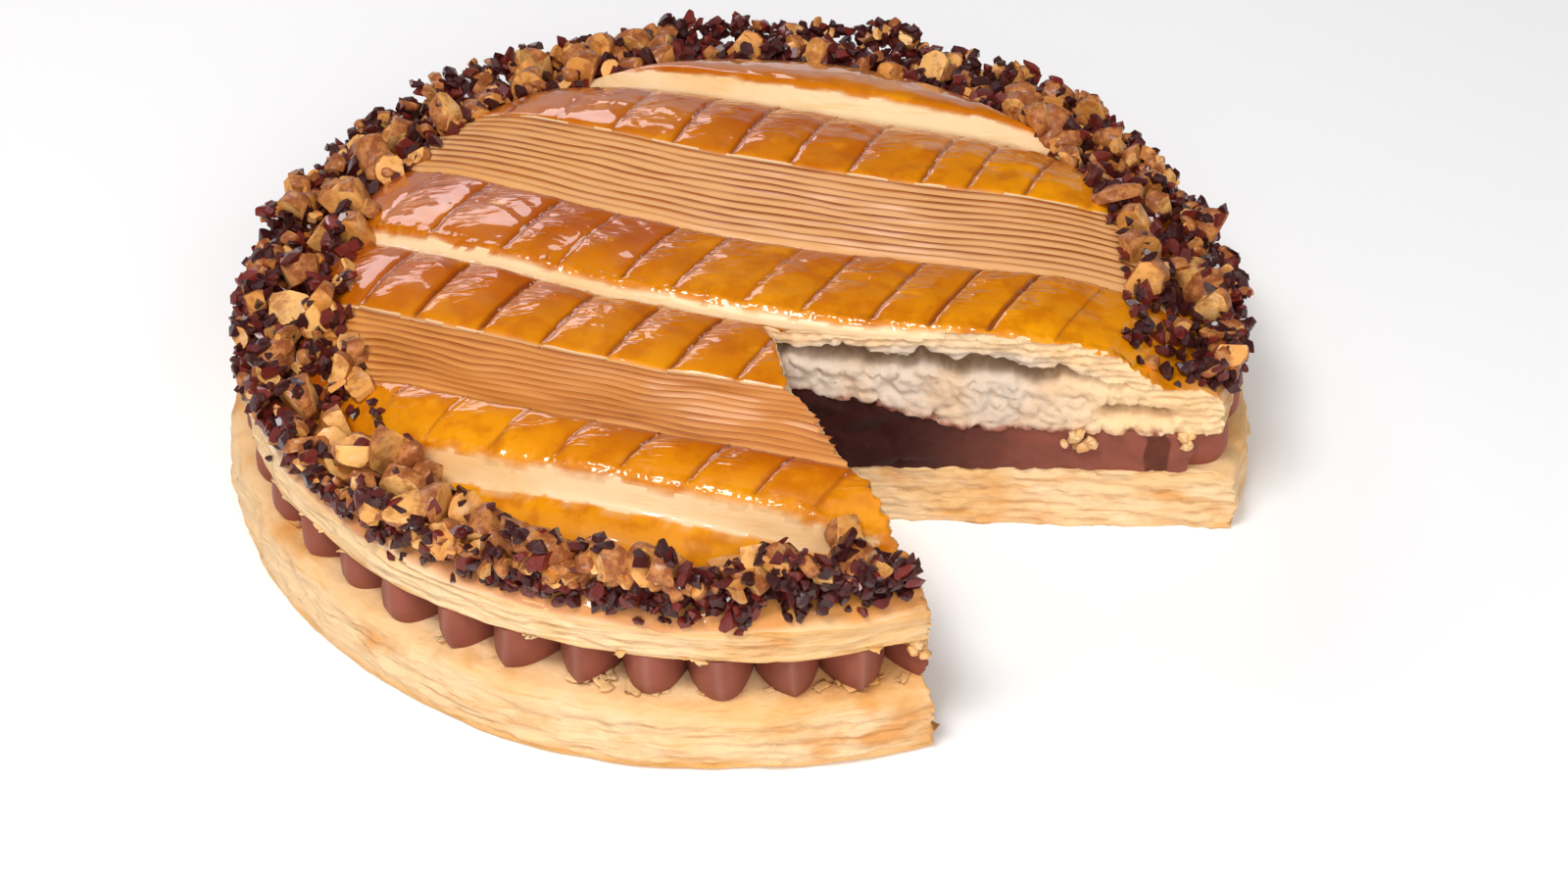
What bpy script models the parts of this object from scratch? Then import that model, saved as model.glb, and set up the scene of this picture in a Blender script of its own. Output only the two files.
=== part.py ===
"""A galette des rois with one slice taken out.

Two discs of puff pastry hold a layer of chocolate cream, piped in pointed dollops round the rim. The upper disc is
domed and glazed, scored in straight bands, and its rim carries chopped roasted nuts and cocoa nibs.
Metres, +Z up. The galette stands on Z = 0, with the centre of its base at the origin, and the slice is missing
between +X and -Y.
"""

import math
import random

import bmesh
import bpy
from mathutils import Matrix, Vector, noise

MM = 0.001
GAP = 0.35 * MM  # between pieces that touch
WELD = 0.001 * MM

# The two discs and the cream between them
LOWER_RADIUS = 121.2 * MM
LOWER_HEIGHT = 16.2 * MM
UPPER_RADIUS = 117.6 * MM
UPPER_UNDERSIDE = 27.4 * MM
RIM_TOP = 40.2 * MM
CREAM_RADIUS = 105.0 * MM
TURN_STEPS = 56

# The mound of cream under the middle of the upper disc
MOUND_RADIUS = 64.0 * MM
MOUND_HEIGHT = 15.0 * MM
CREAM_RIM_TOP = UPPER_UNDERSIDE - GAP

# The dome, a flat top that falls away to the rim
DOME_TOP = 55.6 * MM
DOME_FOOT = 41.1 * MM
DOME_RADIUS = 105.0 * MM
DOME_POWER = 6.0
SLOPE_FOOT = 104.0 * MM
SLOPE = math.tan(math.radians(38))
LID = 66.0 * MM  # above everything on the dome

# The bands run along one direction of the top, bowed a little where the dome rose
BAND_TURN = math.radians(-17.1)
BAND_BOW = 1.53  # per metre
BAND_ALONG = Vector((math.cos(BAND_TURN), math.sin(BAND_TURN)))
BAND_ACROSS = Vector((-math.sin(BAND_TURN), math.cos(BAND_TURN)))
GRID_REACH = 124.0 * MM

# Height of the top over the dome, by place across the bands (millimetres), from the far side to the near side
TIERS = (
    (124, -1.0), (92, 0.0), (76, 1.2), (70, 0.9), (68.5, 0.0), (66, -3.8), (64.5, -3.4), (58, -1.3), (48, -0.2),
    (33.5, -0.6), (0.5, -0.8), (-8, 0.1), (-20, 0.8), (-25, 0.4), (-27, -0.4), (-28.6, -2.3), (-30.5, -1.8),
    (-36, -0.5), (-46, 0.0), (-54.5, -0.4), (-73.5, -0.7), (-79, 0.6), (-84.5, 0.7), (-87.2, -0.4), (-90, -4.8),
    (-96, -4.4), (-124, -4.0),
)
SCORED_BANDS = ((33.5, 64.5), (-25.0, 0.5), (-54.5, -30.5), (-84.5, -73.5))
RIBBED_BANDS = ((0.5, 33.5, 11), (-73.5, -54.5, 9))  # and how many ribs each has
RIB_DEPTH = 1.3 * MM
RIB_VALLEY, RIB_CREST = 0.1, 0.85  # where each rib is lowest and highest, as shares of its width
SCORE_PITCH = 15.2 * MM
SCORE_DEPTH = 1.0 * MM
SCORE_LEAN = 0.2
SCORE_START = -4.0 * MM
COLUMNS_PER_SCORE = 2
SWELL = 0.7 * MM

# The missing slice, a wedge whose point is off the centre
NOTCH_POINT = Vector((6.0, -35.5)) * MM
FAR_WALL = [Vector(p) * MM for p in ((40, -37.2), (80, -38.6), (136, -41.0))]
NEAR_WALL = [Vector(p) * MM for p in ((11, -58), (20, -75), (31, -91), (49.5, -131))]
NOTCH_OUTSIDE = [Vector(p) * MM for p in ((100, -140), (136, -100))]

# The piped dollops
DOLLOPS_ROUND = 48
DOLLOP_TURN = math.radians(-84.2)
DOLLOP_REACH = 119.0 * MM
DOLLOP_LENGTH = 11.0 * MM
DOLLOP_HALF_WIDTH = 7.3 * MM
DOLLOP_BACK = 7.0 * MM
DOLLOP_FULLNESS = (0.3, 0.88, 1.0)  # share of the full width at the foot, half way up and at the top

# The nuts and nibs on the rim
HEAP_OUTER = 114.5 * MM
HEAP_THICKNESS = 2.7 * MM
NUT_COUNT = 44
NIB_COUNT = 58
NUT_LENGTHS = (8.0 * MM, 13.5 * MM)
NIB_LENGTHS = (5.0 * MM, 7.0 * MM)
LONE_NUT_CENTRE = Vector((22.5, -97.0, 45.0)) * MM
LONE_NUT_LENGTH = 11.0 * MM


def clear_scene():
    for obj in list(bpy.data.objects):
        bpy.data.objects.remove(obj, do_unlink=True)


def collection(name, hidden=False):
    made = bpy.data.collections.new(name)
    made.hide_render = hidden
    bpy.context.scene.collection.children.link(made)
    return made


def material(name, colour, roughness):
    made = bpy.data.materials.new(name)
    made.use_nodes = True
    shader = made.node_tree.nodes["Principled BSDF"]
    shader.inputs["Base Color"].default_value = (*colour, 1.0)
    shader.inputs["Roughness"].default_value = roughness
    shader.inputs["Metallic"].default_value = 0.0
    return made


def object_from(name, build, target):
    """A mesh object in the target collection, from a bmesh that build has filled."""
    mesh = bpy.data.meshes.new(name)
    shape = bmesh.new()
    build(shape)
    shape.to_mesh(mesh)
    shape.free()
    obj = bpy.data.objects.new(name, mesh)
    target.objects.link(obj)
    return obj


def bake(obj):
    """Keeps the object's evaluated mesh and drops its modifiers."""
    graph = bpy.context.evaluated_depsgraph_get()
    mesh = bpy.data.meshes.new_from_object(obj.evaluated_get(graph))
    obj.modifiers.clear()
    obj.data = mesh
    return obj


def combine(obj, other, operation, solver="EXACT"):
    """Joins, cuts or crops obj with another object, or with all that a collection holds."""
    cut = obj.modifiers.new(operation.lower(), "BOOLEAN")
    cut.operation = operation
    cut.solver = solver
    if isinstance(other, bpy.types.Collection):
        cut.operand_type = "COLLECTION"
        cut.collection = other
    else:
        cut.object = other
    return bake(obj)


def face_outwards(obj):
    shape = bmesh.new()
    shape.from_mesh(obj.data)
    bmesh.ops.recalc_face_normals(shape, faces=shape.faces)
    shape.to_mesh(obj.data)
    shape.free()
    return obj


def keep_main_body(obj):
    """Drops the scraps that a cut leaves loose, and fills the hollows sealed inside."""
    shape = bmesh.new()
    shape.from_mesh(obj.data)
    waiting = set(shape.faces)
    bodies = []
    while waiting:
        body = [waiting.pop()]
        for face in body:
            for edge in face.edges:
                fresh = [other for other in edge.link_faces if other in waiting and len(edge.link_faces) == 2]
                waiting.difference_update(fresh)
                body.extend(fresh)
        bodies.append(body)
    largest = max(bodies, key=len)
    strays = [face for body in bodies if body is not largest for face in body]
    bmesh.ops.delete(shape, geom=strays, context="FACES")
    shape.to_mesh(obj.data)
    shape.free()
    return obj


def turned(name, profile, target, steps=TURN_STEPS):
    """A solid of revolution from (radius, height) points that run from the top of the axis to its bottom."""

    def outline(shape):
        rim = [shape.verts.new((radius, 0, height)) for radius, height in profile]
        for above, below in zip(rim, rim[1:]):
            shape.edges.new((above, below))

    obj = object_from(name, outline, target)
    screw = obj.modifiers.new("turn", "SCREW")
    screw.steps = screw.render_steps = steps
    screw.use_merge_vertices = True
    screw.merge_threshold = WELD
    return face_outwards(bake(obj))


def wobble(angle, seed):
    """A smooth uneven value from about -1 to 1 that closes round the disc."""
    place = Vector((1.7 * math.cos(angle), 1.7 * math.sin(angle), seed))
    return noise.noise(place) + 0.5 * noise.noise(place * 3.1)


def make_uneven(obj, centre, edge, lift, seed):
    """Pushes the outer part of a disc in and out by edge, and up and down by lift, as baked dough is."""
    for vertex in obj.data.vertices:
        flat = vertex.co.xy
        if flat.length < centre:
            continue
        angle = math.atan2(flat.y, flat.x)
        layer = noise.noise(Vector((7 * math.cos(angle), 7 * math.sin(angle), seed + vertex.co.z * 400)))
        share = min(1.0, (flat.length - centre) / (10 * MM))
        push = share * edge * (0.7 * wobble(angle, seed) + 0.5 * layer)
        flat += flat.normalized() * push
        rise = share * lift * wobble(angle, seed + 5) if vertex.co.z > 1 * MM else 0.0
        vertex.co = (flat.x, flat.y, vertex.co.z + rise)


# The missing slice


def along(points, spacing):
    """Points on the straight runs between the given ones, about one spacing apart."""
    placed = []
    for start, end in zip(points, points[1:]):
        steps = max(1, round((end - start).length / spacing))
        placed += [start.lerp(end, step / steps) for step in range(steps)]
    return placed + [points[-1]]


def notch_cutter(name, low, high, levels, crag, spacing, target, setback=0.0):
    """The wedge that the slice leaves, with walls as rough as crag. A setback widens it."""
    walls = along(list(reversed(FAR_WALL)) + [NOTCH_POINT] + NEAR_WALL, spacing)
    outline = walls + NOTCH_OUTSIDE
    middle = sum(outline, Vector((0, 0))) / len(outline)
    chance = random.Random(name)

    def wedge(shape):
        heights = [low + (high - low) * level / levels for level in range(levels + 1)]
        rings = [[shape.verts.new((*point, height)) for point in outline] for height in heights]
        for below, above in zip(rings, rings[1:]):
            for index in range(len(outline)):
                shape.faces.new((below[index - 1], below[index], above[index], above[index - 1]))
        shape.faces.new(rings[0])
        shape.faces.new(rings[-1])
        for vertex in shape.verts:
            if vertex.co.xy.length > LOWER_RADIUS + 4 * MM:
                continue
            outward = (vertex.co.xy - middle).normalized()
            shift = outward * (setback + crag * chance.uniform(-1, 1))
            vertex.co.x += shift.x
            vertex.co.y += shift.y
        bmesh.ops.recalc_face_normals(shape, faces=shape.faces)

    return object_from(name, wedge, target)


def hollows(name, places, target):
    """Flat pockets in the crumb where the layers parted: (x, y, z, half length, half height), in millimetres."""
    pockets = []
    for index, (x, y, z, half_length, half_height) in enumerate(places):
        chance = random.Random(f"{name} {index}")

        def pocket(shape):
            bmesh.ops.create_icosphere(shape, subdivisions=1, radius=1.0)
            for vertex in shape.verts:
                swell = 1 + chance.uniform(-0.2, 0.2)
                size = Vector((half_length, 6.5, half_height)) * MM * swell
                vertex.co = Vector((x, y, z)) * MM + vertex.co * size

        pockets.append(object_from(f"{name}_{index}", pocket, target))
    return pockets


# The lower disc


def lower_profile():
    """From the axis on top to the axis below: the flaky edge has ledges."""
    top, radius = LOWER_HEIGHT, LOWER_RADIUS
    ledges = [(radius - 4.0 * MM, top), (radius - 1.6 * MM, top - 1.0 * MM)]
    for share, step in ((0.78, -0.4), (0.70, -1.1), (0.52, 0.1), (0.45, -0.7), (0.24, 0.4)):
        ledges.append((radius + step * MM, top * share))
    return [(0, top), (radius - 30 * MM, top), *ledges, (radius - 1.2 * MM, 0), (0, 0)]


def make_lower_disc(target, cutters):
    disc = turned("bottom_pastry", lower_profile(), target)
    make_uneven(disc, LOWER_RADIUS - 9 * MM, 0.8 * MM, 0.25 * MM, seed=3)
    cutter = notch_cutter("notch_in_lower_disc", -5 * MM, LOWER_HEIGHT + 5 * MM, 4, 0.7 * MM, 7 * MM, cutters)
    return keep_main_body(combine(disc, cutter, "DIFFERENCE"))


# The cream


def cream_top(radius):
    """Height of the cream: level at the rim, with a mound in the middle."""
    share = min(1.0, radius / MOUND_RADIUS)
    return CREAM_RIM_TOP + MOUND_HEIGHT * (1 - share**2)


def mound_points(lift):
    """The mound's profile, from the axis outwards, raised by lift."""
    steps = 3
    radii = [MOUND_RADIUS * step / steps for step in range(steps + 1)]
    return [(radius, cream_top(radius) + lift) for radius in radii]


def dollop(name, angle, target):
    """One piped dollop: a sharp upright crease at the outer end, full at the top and narrow at the foot."""
    foot = LOWER_HEIGHT + 1.5 * GAP
    height = CREAM_RIM_TOP - 0.2 * GAP - foot
    chance = random.Random(name)
    width = DOLLOP_HALF_WIDTH * chance.uniform(0.93, 1.03)
    reach = DOLLOP_REACH - chance.uniform(0.0, 1.4) * MM
    centre = reach - DOLLOP_LENGTH
    turn = Matrix.Rotation(angle + chance.uniform(-0.25, 0.25) * MM / centre, 4, "Z")

    def drop(shape):
        bmesh.ops.create_cone(shape, cap_ends=True, segments=8, radius1=1.0, radius2=1.0, depth=1.0)
        walls = [edge for edge in shape.edges if abs(edge.verts[0].co.z - edge.verts[1].co.z) > 0.5]
        bmesh.ops.subdivide_edges(shape, edges=walls, cuts=1)
        for vertex in shape.verts:
            x, y, z = vertex.co
            level = z + 0.5  # 0 at the foot, 1 at the top
            full = DOLLOP_FULLNESS[round(2 * level)]
            side = min(1.0, abs(y))
            front = DOLLOP_LENGTH * (full**0.4) * (1 - side**1.5) if x > 0 else -DOLLOP_BACK * abs(x)
            vertex.co = (centre + front, math.copysign(width * side * full, y), foot + height * level)
        bmesh.ops.transform(shape, matrix=turn, verts=shape.verts)

    return object_from(name, drop, target)


def in_notch(point, margin):
    """Whether a point on the plan lies within the missing slice, or as near to it as margin."""
    far_side = (FAR_WALL[-1] - NOTCH_POINT).normalized()
    near_side = (NEAR_WALL[-1] - NOTCH_POINT).normalized()
    offset = point - NOTCH_POINT
    below_far = far_side.x * offset.y - far_side.y * offset.x < margin
    beside_near = near_side.x * offset.y - near_side.y * offset.x > -margin
    return below_far and beside_near


def make_cream(target, cutters, parts):
    base = LOWER_HEIGHT + GAP
    profile = [*mound_points(0.0), (CREAM_RADIUS, CREAM_RIM_TOP), (CREAM_RADIUS + 2 * MM, CREAM_RIM_TOP - 3 * MM)]
    profile += [(CREAM_RADIUS + 1 * MM, base), (0, base)]
    cream = turned("chocolate_cream", profile, target, steps=48)
    pitch = 2 * math.pi / DOLLOPS_ROUND
    for index in range(DOLLOPS_ROUND):
        angle = DOLLOP_TURN + index * pitch
        place = Vector((math.cos(angle), math.sin(angle))) * (DOLLOP_REACH - DOLLOP_LENGTH)
        if not in_notch(place, -5 * MM):
            dollop(f"dollop_{index}", angle, parts)
    combine(cream, parts, "UNION")
    cutter = notch_cutter("notch_in_cream", base - 5 * MM, 60 * MM, 3, 0.35 * MM, 9 * MM, cutters)
    return keep_main_body(combine(cream, cutter, "DIFFERENCE"))


# The upper disc


def dome(radius):
    return DOME_FOOT + (DOME_TOP - DOME_FOOT) * (1 - min(1.2, radius / DOME_RADIUS) ** DOME_POWER)


def slope_height(radius):
    """The cone that joins the dome to the rim."""
    return RIM_TOP + (SLOPE_FOOT - radius) * SLOPE


def between(table, value):
    """Reads a table of (place, height) pairs that runs downwards, straight between its points."""
    for (high, first), (low, second) in zip(table, table[1:]):
        if value >= low:
            share = (high - value) / (high - low)
            return first + (second - first) * max(0.0, share)
    return table[-1][1]


def band_rows():
    """Places across the bands where the top has a row of points, in millimetres, from near to far."""
    rows = [place for place, height in TIERS]
    for low, high, ribs in RIBBED_BANDS:
        pitch = (high - low) / ribs
        for rib in range(ribs):
            rows += [low + (rib + RIB_VALLEY) * pitch, low + (rib + RIB_CREST) * pitch]
    for low, high in SCORED_BANDS:
        rows += [low + 1.5, high - 1.5]
    return sorted(set(rows))


def rib_height(place):
    """Each rib falls away slowly on the side that faces -Y, and is steep behind."""
    for low, high, ribs in RIBBED_BANDS:
        if low < place < high:
            share = (place - low) / (high - low) * ribs % 1.0
            return -RIB_DEPTH if share < 0.5 else 0.0
    return 0.0


def pillow_height(place, column):
    """Over a score the glaze dips, and between two scores it swells."""
    for low, high in SCORED_BANDS:
        if low + 1 < place < high - 1:
            return SWELL if column % COLUMNS_PER_SCORE else -SCORE_DEPTH
    return 0.0


def nut_edge(angle):
    """Radius where the nuts begin: closer in at the sides than at the front and back."""
    return (94.5 - 7.0 * math.cos(2 * angle) - 4.0 * math.sin(angle)) * MM


def top_point(column, place):
    """A point of the top, from its column along the bands and its place across them."""
    pitch = SCORE_PITCH / COLUMNS_PER_SCORE
    across = place * MM
    length = SCORE_START + column * pitch + SCORE_LEAN * across
    flat = BAND_ALONG * length + BAND_ACROSS * (across + BAND_BOW * length**2)
    radius = flat.length
    fade = min(1.0, max(0.0, (nut_edge(math.atan2(flat.y, flat.x)) - radius) / (6 * MM)))
    height = dome(radius) + between(TIERS, place) * MM + fade * (rib_height(place) + pillow_height(place, column))
    return Vector((flat.x, flat.y, max(height, RIM_TOP + 0.2 * MM)))


def top_block(target):
    """A block whose upper face is the banded top. It crops the turned disc."""
    rows = band_rows()
    reach = math.ceil(GRID_REACH * 1.1 / (SCORE_PITCH / COLUMNS_PER_SCORE))
    columns = 2 * reach
    bpy.ops.mesh.primitive_grid_add(x_subdivisions=columns, y_subdivisions=len(rows) - 1, size=2)
    block = bpy.context.object
    block.name = "banded_top"
    shape = bmesh.new()
    shape.from_mesh(block.data)
    for vertex in shape.verts:
        column = round((vertex.co.x + 1) / 2 * columns)
        row = round((vertex.co.y + 1) / 2 * (len(rows) - 1))
        vertex.co = top_point(column - reach, rows[row])
    grown = bmesh.ops.extrude_face_region(shape, geom=shape.faces[:])["geom"]
    for item in grown:
        if isinstance(item, bmesh.types.BMVert):
            item.co.z = 5 * MM
    bmesh.ops.triangulate(shape, faces=shape.faces)
    bmesh.ops.recalc_face_normals(shape, faces=shape.faces)
    shape.to_mesh(block.data)
    shape.free()
    for old in list(block.users_collection):
        old.objects.unlink(block)
    target.objects.link(block)
    return block


def upper_profile():
    """From the axis above the dome, down the slope, over the rim and its ledges, and in along the underside."""
    radius, under, top = UPPER_RADIUS, UPPER_UNDERSIDE, RIM_TOP
    lid_radius = SLOPE_FOOT - (LID - top) / SLOPE
    edge = [(radius - 3.2 * MM, top), (radius - 1.0 * MM, top - 0.9 * MM)]
    for share, step in ((0.76, -0.9), (0.56, 0.2), (0.44, -0.6), (0.16, 0.1)):
        edge.append((radius + step * MM, under + (top - under) * share))
    mound = [(reach, height) for reach, height in reversed(mound_points(GAP))]
    return [(0, LID), (lid_radius, LID), (SLOPE_FOOT, top), *edge, (radius - 3 * MM, under), *mound]


# Where the layers of the crumb parted along each wall: x, y, z, half length and half height in millimetres
FAR_HOLLOWS = ((20, -34.5, 47.0, 15, 3.0), (48, -35.5, 45.5, 15, 3.4), (74, -37, 42.5, 11, 2.4), (95, -38.5, 33.8, 6, 1.8))
NEAR_HOLLOWS = ((6, -50, 47.0, 8, 2.6), (14, -74, 45.5, 8, 3.0), (27, -92, 38.0, 7, 2.0))


def make_upper_disc(target, cutters):
    disc = turned("top_pastry", upper_profile(), target)
    make_uneven(disc, UPPER_RADIUS - 9 * MM, 0.7 * MM, 0.0, seed=11)
    combine(disc, top_block(cutters), "INTERSECT")
    cutter = notch_cutter("notch_in_upper_disc", 15 * MM, 75 * MM, 7, 0.8 * MM, 6 * MM, cutters)
    combine(disc, cutter, "DIFFERENCE")
    for pocket in hollows("pocket_far", FAR_HOLLOWS, cutters) + hollows("pocket_near", NEAR_HOLLOWS, cutters):
        combine(disc, pocket, "DIFFERENCE")
    return keep_main_body(disc)


# The nuts


def rim_surface(radius):
    """Height of the smooth part of the top, under the nuts."""
    return max(RIM_TOP, min(dome(radius), slope_height(radius)))


def heap_outer(angle):
    """Radius where the nuts end: at the front they leave some of the rim bare."""
    return HEAP_OUTER + 1.5 * MM * math.sin(angle)


def heap_core(target):
    """The bed of nibs: a torus pressed out to the rim's width and laid along its slope."""
    bpy.ops.mesh.primitive_torus_add(
        major_segments=48, minor_segments=6, major_radius=1.0, minor_radius=0.5
    )
    core = bpy.context.object
    core.name = "nut_topping"
    for vertex in core.data.vertices:
        angle = math.atan2(vertex.co.y, vertex.co.x)
        inner = nut_edge(angle) + 3 * MM
        share = vertex.co.xy.length - 0.5  # 0 at the inner side of the torus, 1 at the outer side
        radius = inner + (heap_outer(angle) - inner) * share
        swell = HEAP_THICKNESS * (1 + 0.3 * wobble(angle * 2, 21))
        height = rim_surface(radius) + swell * vertex.co.z * 2
        vertex.co = (radius * math.cos(angle), radius * math.sin(angle), height)
    for old in list(core.users_collection):
        old.objects.unlink(core)
    target.objects.link(core)
    return core


def chopped_piece(name, length, place, target, chance):
    """One chopped piece: a block with uneven corners, turned at random."""
    turn = Matrix.Rotation(chance.uniform(0, math.tau), 4, "Z") @ Matrix.Rotation(chance.uniform(-0.6, 0.6), 4, "X")
    size = Vector((length, length * chance.uniform(0.55, 0.75), length * chance.uniform(0.45, 0.6)))

    def piece(shape):
        bmesh.ops.create_cube(shape, size=1.0)
        for vertex in shape.verts:
            taper = Vector([1 + chance.uniform(-0.3, 0.12) for axis in range(3)])
            vertex.co = turn @ (vertex.co * taper * size) + place

    return object_from(name, piece, target)


def scatter(kind, count, lengths, sink, target, chance):
    """Pieces spread evenly round the rim, each one part sunk in the bed."""
    for index in range(count):
        angle = math.tau * (index + chance.uniform(-0.3, 0.3)) / count
        length = chance.uniform(*lengths)
        inner = nut_edge(angle) + 0.5 * length
        outer = heap_outer(angle) + 1 * MM - 0.5 * length
        share = (index * 0.618) % 1.0
        radius = inner + (outer - inner) * share
        flat = Vector((radius * math.cos(angle), radius * math.sin(angle)))
        if in_notch(flat, 0.6 * length):
            continue
        height = rim_surface(radius) + HEAP_THICKNESS * (1 - sink) + 0.25 * length
        chopped_piece(f"{kind}_{index}", length, Vector((*flat, height)), target, chance)


def nut_bed(target):
    """A smooth block just above the upper disc: what the nuts on it are cut with."""
    clear = max(height for place, height in TIERS) * MM + GAP
    crown = []
    for radius in (0.0, 40 * MM, 60 * MM, 70 * MM, 80 * MM, 85 * MM, 90 * MM):
        crown.append((radius, min(dome(radius) + clear, slope_height(radius) + GAP)))
    side, top = LOWER_RADIUS + 4 * MM, RIM_TOP + GAP
    return turned("under_the_nuts", [*crown, (SLOPE_FOOT + GAP, top), (side, top), (side, 0), (0, 0)], target)


def make_topping(target, cutters, parts, bed):
    chance = random.Random(7)
    heap = heap_core(target)
    scatter("nut", NUT_COUNT, NUT_LENGTHS, 0.45, parts, chance)
    scatter("nib", NIB_COUNT, NIB_LENGTHS, 0.2, parts, chance)
    combine(heap, parts, "UNION")
    cutter = notch_cutter("notch_in_nuts", 20 * MM, 75 * MM, 1, 0.5 * MM, 9 * MM, cutters, setback=1.6 * MM)
    combine(heap, cutter, "DIFFERENCE")
    return keep_main_body(combine(heap, bed, "DIFFERENCE", "MANIFOLD"))


def make_lone_nut(target, cutters, disc):
    """A single nut that rolled down and rests against the flank of the last band."""
    nut = chopped_piece("lone_nut", LONE_NUT_LENGTH, LONE_NUT_CENTRE, target, random.Random(4))
    bed = disc.copy()
    bed.data = disc.data.copy()
    bed.name = "upper_disc_raised"
    bed.data.transform(Matrix.Translation((0, 0, GAP)))
    cutters.objects.link(bed)
    return keep_main_body(combine(nut, bed, "DIFFERENCE"))


def finish(obj, look):
    obj.data.materials.clear()
    obj.data.materials.append(look)
    obj.data.shade_smooth()
    obj.data.set_sharp_from_angle(angle=math.radians(25))


def main():
    clear_scene()
    galette = collection("galette_des_rois")
    cutters = collection("cutters", hidden=True)
    dollops = collection("dollops", hidden=True)
    pieces = collection("chopped_pieces", hidden=True)

    lower = make_lower_disc(galette, cutters)
    cream = make_cream(galette, cutters, dollops)
    upper = make_upper_disc(galette, cutters)
    topping = make_topping(galette, cutters, pieces, nut_bed(cutters))
    lone = make_lone_nut(galette, cutters, upper)

    finish(lower, material("pale_puff_pastry", (0.78, 0.52, 0.24), 0.7))
    finish(cream, material("chocolate_cream", (0.15, 0.055, 0.035), 0.45))
    finish(upper, material("glazed_puff_pastry", (0.70, 0.30, 0.04), 0.25))
    roasted = material("roasted_nuts", (0.55, 0.27, 0.08), 0.45)
    finish(topping, roasted)
    finish(lone, roasted)

    for helper in (cutters, dollops, pieces):
        for obj in list(helper.objects):
            bpy.data.objects.remove(obj, do_unlink=True)


main()
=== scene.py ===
"""The looks of a galette des rois with one slice taken out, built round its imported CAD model.

Metres, +Z up. The galette stands on Z = 0 with its base centred on the origin, and the camera looks along +Y.
"""

import math
import random

import bmesh
import bpy
import numpy as np
from mathutils import Matrix, Vector, kdtree


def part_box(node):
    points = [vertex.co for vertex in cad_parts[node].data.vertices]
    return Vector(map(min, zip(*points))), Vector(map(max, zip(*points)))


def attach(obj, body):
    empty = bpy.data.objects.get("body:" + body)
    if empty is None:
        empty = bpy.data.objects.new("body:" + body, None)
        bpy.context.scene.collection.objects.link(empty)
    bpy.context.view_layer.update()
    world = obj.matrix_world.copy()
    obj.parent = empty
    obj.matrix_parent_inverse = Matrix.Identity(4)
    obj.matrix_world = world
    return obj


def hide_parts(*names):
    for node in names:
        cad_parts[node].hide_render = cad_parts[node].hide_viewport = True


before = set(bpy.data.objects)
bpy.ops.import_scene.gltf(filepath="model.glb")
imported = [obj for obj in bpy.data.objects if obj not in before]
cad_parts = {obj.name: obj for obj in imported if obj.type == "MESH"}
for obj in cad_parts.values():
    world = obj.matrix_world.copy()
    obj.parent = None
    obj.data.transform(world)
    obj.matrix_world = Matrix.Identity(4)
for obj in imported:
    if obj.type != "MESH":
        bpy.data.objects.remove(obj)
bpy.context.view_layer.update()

bl_info = {
    "name": "Galette des rois",
    "version": (1, 0, 0),
    "blender": (4, 5, 0),
    "location": "3D View > Sidebar > Galette",
    "description": "Builds a glazed galette des rois, filled with chocolate cream and ringed with nuts",
    "category": "Object",
}

MM = 0.001

# The discs and the cream, as in the CAD model
LOWER_RADIUS = 121.2
LOWER_HEIGHT = 16.2
UPPER_RADIUS = 117.6
UPPER_UNDERSIDE = 27.4
RIM_TOP = 40.2
CREAM_RADIUS = 105.0
MOUND_RADIUS = 64.0
MOUND_HEIGHT = 15.0
DOME_TOP = 55.6
DOME_FOOT = 41.1
DOME_RADIUS = 105.0
SLOPE_FOOT = 104.0
SLOPE = math.tan(math.radians(38))
SHOULDER_START = 109.5
SHOULDER_DROP = 5.6
LID = 66.0
# Radius at which lengths along the edge are measured, and radii at which the scores and the glazed crust end
EDGE_ARC = 118.0
SCORES_END = 100
CRUST_END = 101
# How far the bands are turned and bowed, and their two directions
BAND_TURN = math.radians(-17.1)
BAND_BOW = 0.00153
ALONG = np.array((math.cos(BAND_TURN), math.sin(BAND_TURN)))
ACROSS = np.array((-math.sin(BAND_TURN), math.cos(BAND_TURN)))

# Height of the top over the dome, by place across the bands, from near to far
TIERS = (
    (-124, -4.0), (-96, -4.4), (-91.5, -4.9), (-90.2, -4.6), (-87.6, -0.6), (-86.4, 0.3), (-84, 0.8), (-79, 0.7),
    (-75, 0.0), (-73.2, -0.7), (-55, -0.6), (-53.8, -0.3), (-50, 0.0), (-46, 0.2), (-36, -0.4), (-31, -1.6),
    (-29.4, -2.4), (-28.0, -2.35), (-27.2, -1.7), (-26.4, -0.6), (-25.4, 0.3), (-23, 0.9), (-18, 1.0), (-8, 0.3),
    (-1, -0.5), (0.6, -0.9), (33, -0.8), (35, -0.3), (40, 0.1), (48, 0.1), (57, -1.0), (63.5, -2.9), (65.2, -3.8),
    (66.4, -3.7), (70.4, -0.6), (72.6, 0.9), (76, 1.3), (92, 0.2), (124, -1.0),
)
# The grid's rows across the bands: from, to and apart
ROW_SPANS = (
    (-122, -92, 2.0), (-92, -85, 0.55), (-85, -73.6, 0.95), (-53.6, -31, 0.95), (-31, -22.5, 0.5),
    (-22, 0.2, 0.95), (34, 62, 1.0), (62, 75, 0.6), (75, 122, 2.0),
)
# Near and far side, how many ribs, where on a rib its brown starts, and how toasted it is between
RIBBED_BANDS = ((0.5, 33.2, 11, 0.58, 0.66), (-73.4, -54.2, 10, 0.54, 0.95))
RIB_SHARES = (0.0, 0.1, 0.28, 0.46, 0.62, 0.76, 0.86, 0.94)
RIB_PROFILE = ((0.0, -0.75), (0.1, -1.0), (0.28, -0.8), (0.76, -0.18), (0.86, 0.0), (0.94, -0.3), (1.0, -0.75))
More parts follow.
